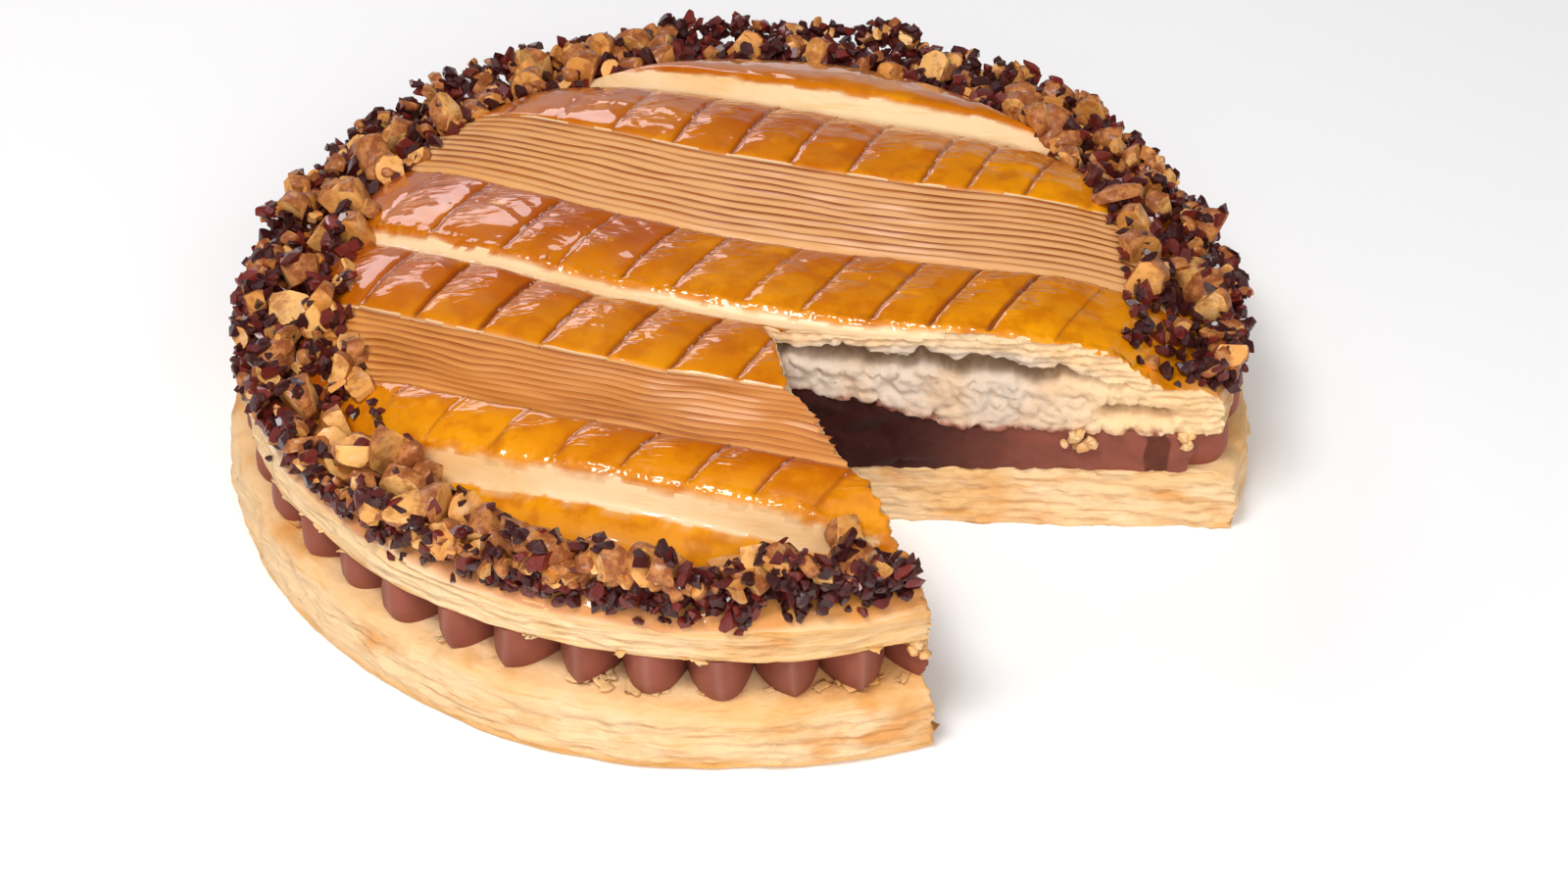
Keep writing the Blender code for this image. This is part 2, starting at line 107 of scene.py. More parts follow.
# Near and far side, scores along the near side, which of them is column 0, how far they lean, and the swell between
SCORED_BANDS = (
    (33.4, 64.0, (-45, -29, -13.5, 1.7, 16, 34, 45, 58.5), 3, 0.10, 0.6),
    (-26.0, 0.4, (-70.5, -51, -36, -21, -8, 9, 22, 38, 51, 64), 5, 0.22, 0.72),
    (-54.0, -29.6, (-62, -45, -29.5, -14, 1, 16), 4, 0.20, 1.0),
    (-86.5, -73.5, (-29, -14, 0.6, 16, 30, 43), 2, 0.38, 1.0),
)
SCORE_PITCH = 15.2
COLUMN_SHARES = (0.0, 0.03, 0.07, 0.12, 0.19, 0.27, 0.36, 0.46, 0.56, 0.66, 0.76, 0.85, 0.92, 0.97)
COLUMN_REACH = 9
SWELL_SHARE = 0.68
FLAT_SHARE = 0.4
# Unglazed strips: near and far side, and how much nearer they lie at the left
GLAZE_GAPS = ((64.4, 70.8, 0.0), (-29.6, -26.7, 0.0), (-91.4, -87.9, 1.0))
# Edges where the glaze stands in beads: place and width
BEADED_EDGES = ((-25.9, 1.5), (-87.1, 1.6))
# Darker and paler spots of the glaze: change, middle and width to the right, middle and width to the back
GLAZE_SPOTS = ((0.6, 12, 34, -70, 14), (-0.42, -70, 40, -60, 25), (0.45, 24, 16, -78, 9))

# The missing slice
NOTCH_POINT = (6.0, -35.5)
FAR_WALL = ((40, -37.2), (80, -38.6), (136, -41.0))
NEAR_WALL = ((11, -58), (20, -75), (31, -91), (49.5, -131))
NOTCH_OUTSIDE = ((100, -140), (136, -100))

# The piped dollops
DOLLOPS_ROUND = 48
DOLLOP_TURN = math.radians(-84.2)
DOLLOP_REACH = 119.0
DOLLOP_LENGTH = 11.0
DOLLOP_HALF_WIDTH = 7.3
DOLLOP_BACK = 7.0

# The nuts, nibs and flakes
HEAP_OUTER = 120.0
GOLDEN_TURN = 2.399963
# Places tried: nibs all over and at the outer edge, large nuts, chips all over and at the outer edge
NIB_PLACES, EDGE_NIB_PLACES, NUT_PLACES, CHIP_PLACES, EDGE_CHIP_PLACES = 3000, 2000, 290, 380, 420
SHORTEST_NIB, SHORTEST_CHIP = 3.0, 3.2
# How much of the ring is large nuts rather than nibs, by angle in degrees
NUT_SHARES = (
    (-180, 0.30), (-165, 0.45), (-150, 0.80), (-135, 0.9), (-112, 0.85), (-98, 0.6), (-84, 0.28), (-68, 0.12),
    (-40, 0.3), (-22, 0.45), (0, 0.35), (25, 0.45), (45, 0.75), (60, 0.25), (80, 0.18), (100, 0.25), (112, 0.8),
    (128, 0.85), (138, 0.35), (150, 0.85), (162, 0.85), (172, 0.2), (180, 0.30),
)
# How many flakes and crumbs cling to each place
CORNER_FLAKES, RIM_FLAKES, DOLLOP_FLAKES, FAR_CRUMBS, NEAR_CRUMBS = 16, 45, 60, 14, 12
SHARDS, CRUMBS = 5, 3


def colour(name, description, default):
    return bpy.props.FloatVectorProperty(
        name=name, description=description, subtype="COLOR", size=3, min=0, max=1, default=default
    )


def length(name, description, default):
    return bpy.props.FloatProperty(name=name, description=description, unit="LENGTH", min=0, default=default)


class GaletteSizes(bpy.types.PropertyGroup):
    rib_depth: length("Rib depth", "Height of the ribs between the glazed bands", 1.5 * MM)
    score_depth: length("Score depth", "Depth of the knife scores in the glazed bands", 0.8 * MM)
    swell: length("Swell", "How far the crust swells between two scores", 0.95 * MM)
    leaf_height: length("Leaf height", "Height of one flaky leaf at the edge of the pastry", 1.05 * MM)
    leaf_reach: length("Leaf reach", "How far the leaves stand in or out at the edge", 0.75 * MM)
    crumb_relief: length("Crumb relief", "How rough the torn crumb is", 1.0 * MM)
    nut_shortest: length("Shortest nut", "Length of the smallest large nut piece", 8.5 * MM)
    nut_longest: length("Longest nut", "Length of the largest nut piece", 14.0 * MM)
    chip_longest: length("Longest chip", "Length of the largest chip of nut", 7.5 * MM)
    nib_longest: length("Longest nib", "Length of the largest cocoa nib", 7.0 * MM)
    seed: bpy.props.IntProperty(name="Seed", description="Draws another scatter of nuts", default=12)


class GaletteColours(bpy.types.PropertyGroup):
    glaze_gold: colour("Golden glaze", "Glaze where it baked lightest", (0.82, 0.30, 0.002))
    glaze_amber: colour("Amber glaze", "Glaze where it baked darkest", (0.45, 0.088, 0.001))
    score_brown: colour("Score", "Bottom of the scores", (0.22, 0.03, 0.004))
    rib_brown: colour("Rib crest", "Browned crests of the ribs", (0.27, 0.055, 0.005))
    pale: colour("Pale pastry", "Pastry that took no glaze", (0.86, 0.59, 0.33))
    pale_gold: colour("Gilded pastry", "Baked patches of the pale pastry", (0.74, 0.37, 0.09))
    crumb: colour("Crumb", "The white crumb at the cut", (0.66, 0.53, 0.42))
    # The painted shade in the hollows of the torn crumb
    crumb_hollow_shade: colour("Crumb hollow shade", "The hollows in the crumb", (0.26, 0.15, 0.07))
    cream: colour("Chocolate cream", "The piped filling", (0.28, 0.080, 0.050))
    # Also the painted shadow of the missing slice, laid over the cut faces of the cream
    cream_dark_and_cut_shadow: colour("Cut cream and painted shadow", "The filling where it was cut", (0.024, 0.0045, 0.004))
    nut: colour("Nut", "Cut faces of the roasted nuts", (0.66, 0.26, 0.05))
    nut_skin: colour("Nut skin", "Skin of the roasted nuts", (0.27, 0.075, 0.020))
    nib: colour("Cocoa nib", "The cocoa nibs", (0.040, 0.008, 0.008))
    nib_red: colour("Red nib", "The redder nibs", (0.16, 0.016, 0.010))


def field(across, along, seed, octaves=1):
    """Smooth noise from -1 to 1 of two coordinates, given in cells."""
    table = np.random.default_rng(seed).uniform(-1, 1, (64, 64))
    total = 0.0
    for octave in range(octaves):
        left, low = np.floor(across).astype(int), np.floor(along).astype(int)
        a, b = across - left, along - low
        a, b = a * a * (3 - 2 * a), b * b * (3 - 2 * b)
        right, high = (left + 1) % 64, (low + 1) % 64
        left, low = left % 64, low % 64
        first = table[left, low] * (1 - a) + table[right, low] * a
        second = table[left, high] * (1 - a) + table[right, high] * a
        total = total + (first * (1 - b) + second * b) * 0.5**octave
        across, along = across * 2 + 17.3, along * 2 + 5.1
    return total


def ease(low, high, value):
    """0 below low, 1 above high, smooth between."""
    share = np.clip((value - low) / (high - low), 0, 1)
    return share * share * (3 - 2 * share)


def window(value, rise_from, rise_to, fall_from, fall_to):
    """1 between two eased edges and 0 outside them."""
    return ease(rise_from, rise_to, value) * (1 - ease(fall_from, fall_to, value))


def bell(value, middle, width):
    return np.exp(-(((value - middle) / width) ** 2))


def ripple(value, seed, octaves=1, row=0.0):
    """Smooth noise of one coordinate."""
    return field(value, value * 0 + row, seed, octaves)


def read_table(table, value):
    table = np.array(table)
    return np.interp(value, table[:, 0], table[:, 1])


def sizes():
    return bpy.context.scene.galette_sizes


def colours():
    return bpy.context.scene.galette_colours


# Mesh work


def start_fresh():
    bpy.ops.object.select_all(action="DESELECT")


def named(name):
    """The primitive just added, under its own name."""
    made = bpy.context.object
    made.name = made.data.name = name
    return made


def points_of(obj):
    flat = np.empty(len(obj.data.vertices) * 3)
    obj.data.vertices.foreach_get("co", flat)
    return flat.reshape(-1, 3)


def move_points(obj, points):
    obj.data.vertices.foreach_set("co", np.asarray(points, dtype=float).ravel())
    obj.data.update()


def paint(obj, **values):
    """Stores one number for each vertex under each given name, for the materials to read."""
    for name, numbers in values.items():
        layer = obj.data.attributes.new(name, "FLOAT", "POINT")
        layer.data.foreach_set("value", np.broadcast_to(numbers, len(obj.data.vertices)).astype(float).ravel())


def select_only(obj):
    start_fresh()
    obj.select_set(True)
    bpy.context.view_layer.objects.active = obj


def discard(*objects):
    for obj in objects:
        bpy.data.objects.remove(obj, do_unlink=True)


def apply_all(obj):
    select_only(obj)
    for modifier in list(obj.modifiers):
        bpy.ops.object.modifier_apply(modifier=modifier.name)


def carve(obj, other, operation="DIFFERENCE", keep=False):
    """Cuts or crops obj with a closed body, which is then removed unless it is kept for more."""
    cut = obj.modifiers.new(operation.lower(), "BOOLEAN")
    cut.operation = operation
    cut.solver = "MANIFOLD"
    cut.object = other
    apply_all(obj)
    if not keep:
        discard(other)


def edit_all():
    bpy.ops.object.mode_set(mode="EDIT")
    bpy.ops.mesh.select_all(action="SELECT")


def face_outwards():
    bpy.ops.mesh.normals_make_consistent(inside=False)
    bpy.ops.object.mode_set(mode="OBJECT")


def divide_upright(obj, cuts):
    """Adds rings up the side of a cylinder, by dividing its upright edges."""
    edit_all()
    bpy.ops.mesh.select_mode(type="EDGE")
    bpy.ops.mesh.select_all(action="DESELECT")
    bpy.ops.object.mode_set(mode="OBJECT")
    for edge in obj.data.edges:
        ends = [obj.data.vertices[index].co.z for index in edge.vertices]
        edge.select = abs(ends[0] - ends[1]) > 0.5
    bpy.ops.object.mode_set(mode="EDIT")
    bpy.ops.mesh.subdivide(number_cuts=cuts)
    bpy.ops.object.mode_set(mode="OBJECT")


def set_slots(obj, slots):
    """Sorts the faces into four material slots, which stay empty for now."""
    for slot in range(4):
        obj.data.materials.append(None)
    obj.data.polygons.foreach_set("material_index", slots)


def put_on(piece, body_slot, node, *looks):
    """Gives a finished piece its materials, puts it under the root body (body_slot is not used) and hides the CAD part
    that it stands for, if any.
    """
    piece.data.materials.clear()
    for look in looks:
        piece.data.materials.append(look)
    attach(piece, "root")
    if node:
        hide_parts(node)


def polar(points):
    return np.hypot(points[:, 0], points[:, 1]), np.arctan2(points[:, 1], points[:, 0])


def grid(name, columns, rows):
    """A flat grid, with the column and the row of each of its points."""
    start_fresh()
    bpy.ops.mesh.primitive_grid_add(x_subdivisions=columns, y_subdivisions=rows, size=2)
    made = named(name)
    shares = (points_of(made) + 1) / 2
    return made, np.rint(shares[:, 0] * columns).astype(int), np.rint(shares[:, 1] * rows).astype(int)


def turned(name, profile, steps):
    """A grid wrapped round the axis along a profile of (radius, height) points in millimetres, from the top down."""
    obj, column, row = grid(name, steps, len(profile) - 1)
    radius, height = np.array(profile, dtype=float)[len(profile) - 1 - row].T
    angle = column / steps * math.tau
    move_points(obj, np.stack((radius * np.cos(angle), radius * np.sin(angle), height), 1) * MM)
    select_only(obj)
    edit_all()
    bpy.ops.mesh.remove_doubles(threshold=0.004 * MM)
    face_outwards()
    return obj


def gather(name, copies):
    """One object made of many small ones, each given as its points in millimetres and its faces."""
    count, faces = 0, []
    for points, polygons in copies:
        faces += [tuple(corner + count for corner in polygon) for polygon in polygons]
        count += len(points)
    mesh = bpy.data.meshes.new(name)
    mesh.from_pydata((np.vstack([points for points, polygons in copies]) * MM).tolist(), [], faces)
    obj = bpy.data.objects.new(name, mesh)
    bpy.context.scene.collection.objects.link(obj)
    mesh.shade_smooth()
    return obj


class Plan:
    """Finds the nearest of some points as seen from above."""

    def __init__(self, points):
        self.tree = kdtree.KDTree(len(points))
        for index, point in enumerate(points):
            self.tree.insert((point[0], point[1], 0), index)
        self.tree.balance()

    def nearest(self, points):
        found = [self.tree.find((point[0], point[1], 0)) for point in points]
        return np.array([hit[1] for hit in found]), np.array([hit[2] for hit in found])


# The top, worked out in millimetres


def dome(radius):
    return DOME_FOOT + (DOME_TOP - DOME_FOOT) * (1 - np.minimum(1.2, radius / DOME_RADIUS) ** 6)


def slope_height(radius):
    return RIM_TOP + (SLOPE_FOOT - radius) * SLOPE


def shoulder(radius):
    """Height of the rim, which rounds off towards its edge."""
    share = np.clip((radius - SHOULDER_START) / (UPPER_RADIUS - SHOULDER_START), 0, 1)
    return RIM_TOP - SHOULDER_DROP * (1 - np.sqrt(1 - share**2))


def cream_top(radius):
    return UPPER_UNDERSIDE + MOUND_HEIGHT * (1 - np.minimum(1, radius / MOUND_RADIUS) ** 2)


def nut_edge(angle):
    """Radius at which the nuts begin: further out at the front and the back than at the sides."""
    return 94.5 - 7.0 * np.cos(2 * angle) - 4.0 * np.sin(angle)


def tier(place):
    """Height over the dome by place across the bands, with the corners of the table eased."""
    fine = np.arange(-130, 130, 0.2)
    kernel = np.hanning(9)
    heights = np.convolve(read_table(TIERS, fine), kernel / kernel.sum(), mode="same")
    return np.interp(place, fine, heights)


def band_rows():
    """Rows across the bands: close together where the ribs and the edges are."""
    rows = [place for span in ROW_SPANS for place in np.arange(*span)]
    for low, high, ribs, *rest in RIBBED_BANDS:
        pitch = (high - low) / ribs
        rows += [low + (rib + share) * pitch for rib in range(ribs) for share in RIB_SHARES] + [high]
    return np.array(sorted(set(np.round(rows, 3))))


def score_line(scores, zero, column):
    """Place along a scored band of a column, where whole columns fall on scores."""
    first, last = -zero, len(scores) - 1 - zero
    inside = np.interp(column, np.arange(first, last + 1), scores)
    before = scores[0] + (column - first) * SCORE_PITCH
    after = scores[-1] + (column - last) * SCORE_PITCH
    return np.where(column < first, before, np.where(column > last, after, inside))


def top_fields():
    """The grid of the top: its points and what the materials read there."""
    columns = np.array([whole + share for whole in range(-COLUMN_REACH, COLUMN_REACH) for share in COLUMN_SHARES])
    column, place = np.meshgrid(columns, band_rows(), indexing="ij")
    along, weight, score, swell, groove, slip = (np.zeros_like(place) for item in range(6))
    far_side = np.full_like(place, FLAT_SHARE)
    share = column - np.floor(column)
    for low, high, scores, zero, lean, swelling in SCORED_BANDS:
        distance = np.maximum(0, np.maximum(low - place, place - high))
        pull = 1 / (0.2 + distance) ** 2
        along += pull * (score_line(scores, zero, column) + lean * (np.clip(place, low, high) - low))
        weight += pull
        inside = window(place, low - 0.6, low + 2.2, high - 2.5, high + 0.6)
        last = len(scores) - zero
        known = window(column, -zero - 1.3, -zero - 0.5, last - 0.6, last + 0.4)
        uneven = np.clip(0.95 + 0.75 * field(np.floor(column) * 1.7, place * 0 + low, 5), 0.3, 1.5)
        force = inside * ((0.5 + 0.5 * known) * uneven)
        across = np.clip((place - low) / (high - low), 0, 1)
        far_side = np.where((place > low - 1) & (place < high + 1), across, far_side)
        far_side = np.where(place < -90, -0.3, far_side)
        crown = 0.14 + 0.46 * across
        rise = np.where(share < crown, np.sin(np.clip(share / crown, 0, 1) * math.pi / 2), 0.0)
        fallen = np.clip((share - crown) / (1 - crown), 0, 1)
        fall = np.where(share >= crown, np.cos(fallen * math.pi / 2) ** 1.2, 0.0)
        swell += force * (rise + fall) * (0.6 + 0.6 * across) * swelling
        slip += force * (1 - ease(crown - 0.05, crown + 0.25, share)) * ease(0.05, 0.5, across)
        reach = np.minimum(share, 1 - share) * SCORE_PITCH
        groove += force * bell(reach, 0, 0.42)
        score += force * bell(reach, 0, 0.7)
    along /= weight
    wave = 1.1 * field(along / 34, place / 30, 8, 2) + 0.35 * field(along / 11, place / 9, 9)
    bent = place + wave * (2.3 * bell(place, -64, 9) + 0.7 * bell(place, 17, 15) + 0.25)
    crest, ribbed, toast, rib = (np.zeros_like(place) for item in range(4))
    for low, high, ribs, brown_from, toasted in RIBBED_BANDS:
        inside = (place >= low) & (place <= high)
        part = ((place - low) / (high - low) * ribs) % 1.0
        rib = np.where(inside, read_table(RIB_PROFILE, part) * (1 + 0.25 * field(along / 16, place / 2.5, 31, 2)), rib)
        brown = ease(brown_from, brown_from + 0.16, part) + (1 - ease(0.0, 0.1, part))
        brown = brown * (0.9 + 0.35 * field(along / 14, place / 2.2, 34, 2))
        crest = np.where(inside, np.clip(brown, 0, 1), crest)
        ribbed = np.where(inside, 1.0, ribbed)
        toast = np.where(inside, toasted, toast)
        mask = window(place, low - 0.8, low + 2, high - 2, high + 0.8)
        bent += mask * 0.3 * field(along / 14, place / 3.4, 33, 2)
    spot = along[..., None] * ALONG + (bent + BAND_BOW * along**2)[..., None] * ACROSS
    x, y = spot[..., 0], spot[..., 1]
    radius = np.hypot(x, y)
    near_nuts = ease(0, 6, nut_edge(np.arctan2(y, x)) + 3 - radius)
    wish = sizes()
    height = dome(radius) + tier(place)
    height += near_nuts * (rib * wish.rib_depth - groove * wish.score_depth) / MM
    height += near_nuts * (swell - 0.45 * (swell > 0)) * wish.swell / MM * SWELL_SHARE
    height += 0.35 * field(x / 28, y / 28, 40, 2)
    ruffle = field(along / 3.2 + 0.5 * place, place / 9, 41, 2) * glossy_share(place)
    height += 0.13 * ruffle + 0.22 * field(along / 8, place / 6, 42, 2) * glossy_share(place)
    height = np.maximum(height, RIM_TOP + 0.25)
    glaze = 1 - ribbed
    for low, high, nearer in GLAZE_GAPS:
        ragged = place + (0.5 * field(along / 3.5, place / 4, 50, 2) + nearer * (1 - ease(-72, -30, along)))
        glaze *= 1 - window(ragged, low - 0.7, low + 0.4, high - 0.6, high + 0.6)
    marks = {
        "glaze": glaze, "score": score * near_nuts, "crest": crest * (1 - window(place, 0.2, 1.6, 2.0, 3.6)),
        "ribbed": ribbed, "slip": slip, "bead": sum(bell(place, *edge) for edge in BEADED_EDGES),
        "far_side": far_side, "toast": toast,
    }
    return np.stack((x, y, height), -1), marks


def glossy_share(place):
    """1 on the glazed bands and 0 on the ribbed ones."""
    share = np.ones_like(place)
    for low, high, *rest in RIBBED_BANDS:
        share *= 1 - window(place, low - 0.6, low + 0.4, high - 0.4, high + 0.6)
    return share


def top_block():
    """A closed block with the banded top as its upper face, and a way to read the marks at any point."""
    points, marks = top_fields()
    block, i, j = grid("banded_top", points.shape[0] - 1, points.shape[1] - 1)
    move_points(block, points[i, j] * MM)
    edit_all()
    bpy.ops.mesh.extrude_region_move(TRANSFORM_OT_translate={"value": (0, 0, -0.05)})
    bpy.ops.transform.resize(value=(1, 1, 0), center_override=(0, 0, 0.008), orient_type="GLOBAL")
    bpy.ops.mesh.select_all(action="SELECT")
    face_outwards()
    plan = Plan(points.reshape(-1, 3) * MM)

    def read(places):
        index = plan.nearest(places)[0]
        return {name: numbers.ravel()[index] for name, numbers in marks.items()}

    return block, read


def leafy(points, inner, low, high, seed, reach):
    """Pushes the edge of a disc in and out by leaves, and hangs the lowest ones unevenly."""
    radius, angle = polar(points / MM)
    arc = angle * EDGE_ARC
    height = points[:, 2] / MM
    leaf = sizes().leaf_height / MM
    warp = 0.5 * ripple(arc / 30, seed + 1)
    layer = np.floor((height + warp) / leaf)
    within = (height + warp) / leaf - layer
    offset = field(arc / 9.0 + layer * 7.7, layer * 3.3, seed, 3) * reach
    notch = -0.35 * reach * (1 - ease(0, 0.22, within)) - 0.35 * reach * ease(0.82, 1, within)
    swing = 0.9 * ripple(arc / 55, seed + 2, row=2.5) + 0.45 * ripple(arc / 17, seed + 3)
    side = ease(inner, inner + 7, radius)
    belly = ease(low - 0.2, low + 1.2, height) * (1 - 0.7 * ease(high - 1.5, high, height))
    push = side * (belly * (offset + notch) + swing)
    hang = side * (0.6 * ripple(arc / 6, seed + 4, 2, 1.5)) * ease(low - 0.1, low + 0.1, low + 0.3 - height)
    moved = points.copy()
    moved[:, :2] *= ((radius + push) / np.maximum(radius, 1e-6))[:, None]
    moved[:, 2] += hang * MM
    return moved


# The cut faces


def wall_path(spacing):
    """Points of the two walls from the far wall's outer end to the near wall's, and how far along each point is."""
    corners = [np.array(corner, float) for corner in (*reversed(FAR_WALL), NOTCH_POINT, *NEAR_WALL)]
    placed = []
    for start, end in zip(corners, corners[1:]):
        steps = max(1, round(np.linalg.norm(end - start) / spacing))
        placed += [start + (end - start) * step / steps for step in range(steps)]
    placed.append(corners[-1])
    placed = np.array(placed)
    from_point = np.linalg.norm(placed - np.array(NOTCH_POINT), axis=1)
    nearest = int(np.argmin(from_point))
    along = np.where(np.arange(len(placed)) <= nearest, from_point, -from_point)
    return placed, along


def lumps(along, height, size, seed):
    """Rounded knobs with sharp creases between them, from 0 on a knob to 1 in a crease."""
    first = np.abs(field(along / size, height / size + 11, seed))
    second = np.abs(field(along / size * 1.9 + 5, height / size * 1.9, seed + 1))
    return 1 - np.minimum(1, 2.6 * np.minimum(first + 0.08, second + 0.12)) ** 0.7


def crumb_depth(along, height, top):
    """How far the torn crumb stands back from the cut, in millimetres: hollows under the crust, knobs below."""
    far = along > 0
    under = top - height
    relief = sizes().crumb_relief / MM
    reach = np.where(far, 80 - along, 44 + along)
    open_share = ease(-4, 26, reach) * ease(-1, 3, np.abs(along))
    scallop = np.abs(np.sin(along / 5.2 + 1.6 * ripple(along / 15, 68, row=2)))
    roof = 5.6 + 2.2 * scallop * ease(8, 30, np.abs(along)) + 0.8 * ripple(along / 4, 62, 2)
    floor = roof + 2.6 + 1.5 * ripple(along / 6, 63, 2, 9) + 2.0 * open_share
    pocket = window(under, roof - 0.45, roof + 0.45, floor - 1.2, floor + 0.8)
    side_pocket = ease(-4, 0, 6 - np.abs(along - 84)) * bell(height, 32.5, 1.9)
    knobs = relief * (2.3 * lumps(along, height, 7.5, 60) + 0.9 * lumps(along, height, 3.2, 64) - 0.9)
    torn = 0.45 * relief * field(along / 1.7, height / 1.5, 66, 2)
    leaves = 0.4 * np.sign(np.sin(height * 6.2 + 3 * field(along / 9, height / 5, 67)))
    crust = 1 - ease(roof - 1.2, roof - 0.2, under)
    body = (1 - crust) * knobs + crust * (leaves + 0.5 * field(along / 5, height / 3, 69, 2) - 0.4)
    return body + torn + 7.5 * pocket * open_share + 4.5 * side_pocket


def notch_block(name, low, high, rows, spacing, depth):
    """The wedge that the slice leaves. depth(along, height) says how far each wall point stands back."""
    walls, along = wall_path(spacing)
    outline = np.vstack((walls, np.array(NOTCH_OUTSIDE, float)))
    along = np.append(along, (999.0, 999.0))
    outward = outline - (60.0, -90.0)
    outward[: len(walls)] = np.array([wall_normal(step) for step in along[: len(walls)]])
    outward /= np.linalg.norm(outward, axis=1)[:, None]
    count = len(outline)
    start_fresh()
    bpy.ops.mesh.primitive_cylinder_add(vertices=count, radius=1, depth=2, end_fill_type="NGON")
    wedge = named(name)
    divide_upright(wedge, rows - 1)
    places = points_of(wedge)
    turn = np.rint(np.arctan2(places[:, 0], places[:, 1]) / math.tau * count).astype(int) % count
    height = low + (high - low) * (places[:, 2] + 1) / 2
    back = np.where(turn < len(walls), depth(along[turn], height), 0.0)
    from_tip = ease(0, 3, np.abs(along[turn]))
    back = back * from_tip + 0.4 * (1 - from_tip)
    spot = outline[turn] + outward[turn] * back[:, None]
    move_points(wedge, np.column_stack((spot, height)) * MM)
    edit_all()
    bpy.ops.mesh.quads_convert_to_tris()
    face_outwards()
    set_slots(wedge, np.full(len(wedge.data.polygons), 3))
    return wedge


def wall_normal(along):
    """Which way is into the pastry from a wall: the far wall looks to -Y, the near wall to +X."""
    if along > 0:
        return np.array((0.035, 1.0))
    share = min(1.0, -along / 60)
    return np.array((-1.0, -0.15 - 0.35 * share))


def wall_marks(obj):
    """How far each vertex stands from the walls of the notch, and how far along them its nearest point is."""
    walls, along = wall_path(1.0)
    index, distance = Plan(walls).nearest(points_of(obj) / MM)
    return distance, along[index]


def in_notch(point, margin=0.0):
    """Whether a point on the plan, in millimetres, lies within the missing slice."""
    tip = Vector(NOTCH_POINT)
    far_side = (Vector(FAR_WALL[-1]) - tip).normalized()
    near_side = (Vector(NEAR_WALL[-1]) - tip).normalized()
    offset = Vector(point) - tip
    below_far = far_side.x * offset.y - far_side.y * offset.x < margin
    beside_near = near_side.x * offset.y - near_side.y * offset.x > -margin
    return below_far and beside_near


# Materials


def place(tree, kind, inputs=None, **settings):
    made = tree.nodes.new(kind)
    for key, value in settings.items():
        setattr(made, key, value)
    for socket, value in (inputs or {}).items():
        if isinstance(value, bpy.types.NodeSocket):
            tree.links.new(value, made.inputs[socket])
        else:
            made.inputs[socket].default_value = value
    return made


class Look:
    """A material under construction: short names for the few nodes that these foods need."""

    def __init__(self, name, roughness, coat=0.0, coat_roughness=0.05, specular=0.5, subsurface=0.0):
        self.material = bpy.data.materials.new(name)
        self.material.use_nodes = True
        self.tree = self.material.node_tree
        self.shader = self.tree.nodes["Principled BSDF"]
        values = {
            "Roughness": roughness, "Coat Weight": coat, "Coat Roughness": coat_roughness,
            "Specular IOR Level": specular, "Subsurface Weight": subsurface,
            "Subsurface Radius": (0.9, 0.55, 0.3), "Subsurface Scale": 0.003,
        }
        for socket, value in values.items():
            self.shader.inputs[socket].default_value = value
        self.coordinates = self.tree.nodes.new("ShaderNodeTexCoord").outputs["Object"]

    def mark(self, name):
        return place(self.tree, "ShaderNodeAttribute", attribute_name=name).outputs["Fac"]

    def noise(self, scale, stretch=(1, 1, 1), turn=0.0, detail=3.0, rough=0.55, warp=0.0):
        """Noise whose grain is 1/scale metres, stretched and turned about Z."""
        mapped = place(
            self.tree, "ShaderNodeMapping", {"Vector": self.coordinates, "Rotation": (0, 0, turn), "Scale": stretch}
        )
        made = place(
            self.tree, "ShaderNodeTexNoise",
            {"Vector": mapped.outputs[0], "Scale": scale, "Detail": detail, "Roughness": rough, "Distortion": warp},
        )
        return made.outputs["Fac"]

    def ramp(self, value, low, high):
        """0 below low and 1 above high."""
        made = place(
            self.tree, "ShaderNodeMapRange", {"Value": value, "From Min": low, "From Max": high},
            interpolation_type="SMOOTHSTEP",
        )
        return made.outputs["Result"]

    def sum(self, first, second, operation="ADD", clamp=True):
        made = place(self.tree, "ShaderNodeMath", {0: first, 1: second}, operation=operation, use_clamp=clamp)
        return made.outputs[0]

    def times(self, first, second):
        return self.sum(first, second, "MULTIPLY", False)

    def mix(self, share, first, second):
        made = place(self.tree, "ShaderNodeMix", {0: share}, data_type="RGBA")
        for socket, value in ((6, first), (7, second)):
            if isinstance(value, bpy.types.NodeSocket):
                self.tree.links.new(value, made.inputs[socket])
            else:
                made.inputs[socket].default_value = (*value, 1.0)
        return made.outputs[2]

    def mottle(self, base, tone, share, low, high, *grain, **more):
        """Mixes a colour over the base in the spots where noise is high, as strongly as share says."""
        spots = self.ramp(self.noise(*grain, **more), low, high)
        return self.mix(self.times(spots, share), base, tone)

    def shift(self, value, scale, detail, amount):
        """Lets noise add to a value or take from it."""
        centred = self.sum(self.noise(scale, detail=detail), -0.5, clamp=False)
        return self.sum(value, self.times(centred, amount))

    def feed(self, name, socket):
        self.tree.links.new(socket, self.shader.inputs[name])

    def bump(self, *layers):
        """Stacks bumps, each one (height socket, strength, depth in millimetres)."""
        normal = None
        for height, strength, depth in layers:
            inputs = {"Height": height, "Strength": strength, "Distance": depth * MM}
            if normal:
                inputs["Normal"] = normal
            normal = place(self.tree, "ShaderNodeBump", inputs).outputs["Normal"]
        self.feed("Normal", normal)
        return normal


def pale_colour(look):
    """Unglazed pastry, with baked patches."""
    wish = colours()
    base = look.mottle(wish.pale, wish.pale_gold, 0.55, 0.46, 0.72, 26, detail=5)
    return look.mottle(base, wish.pale_gold, 0.35, 0.56, 0.70, 70, (1, 1, 14), detail=4)


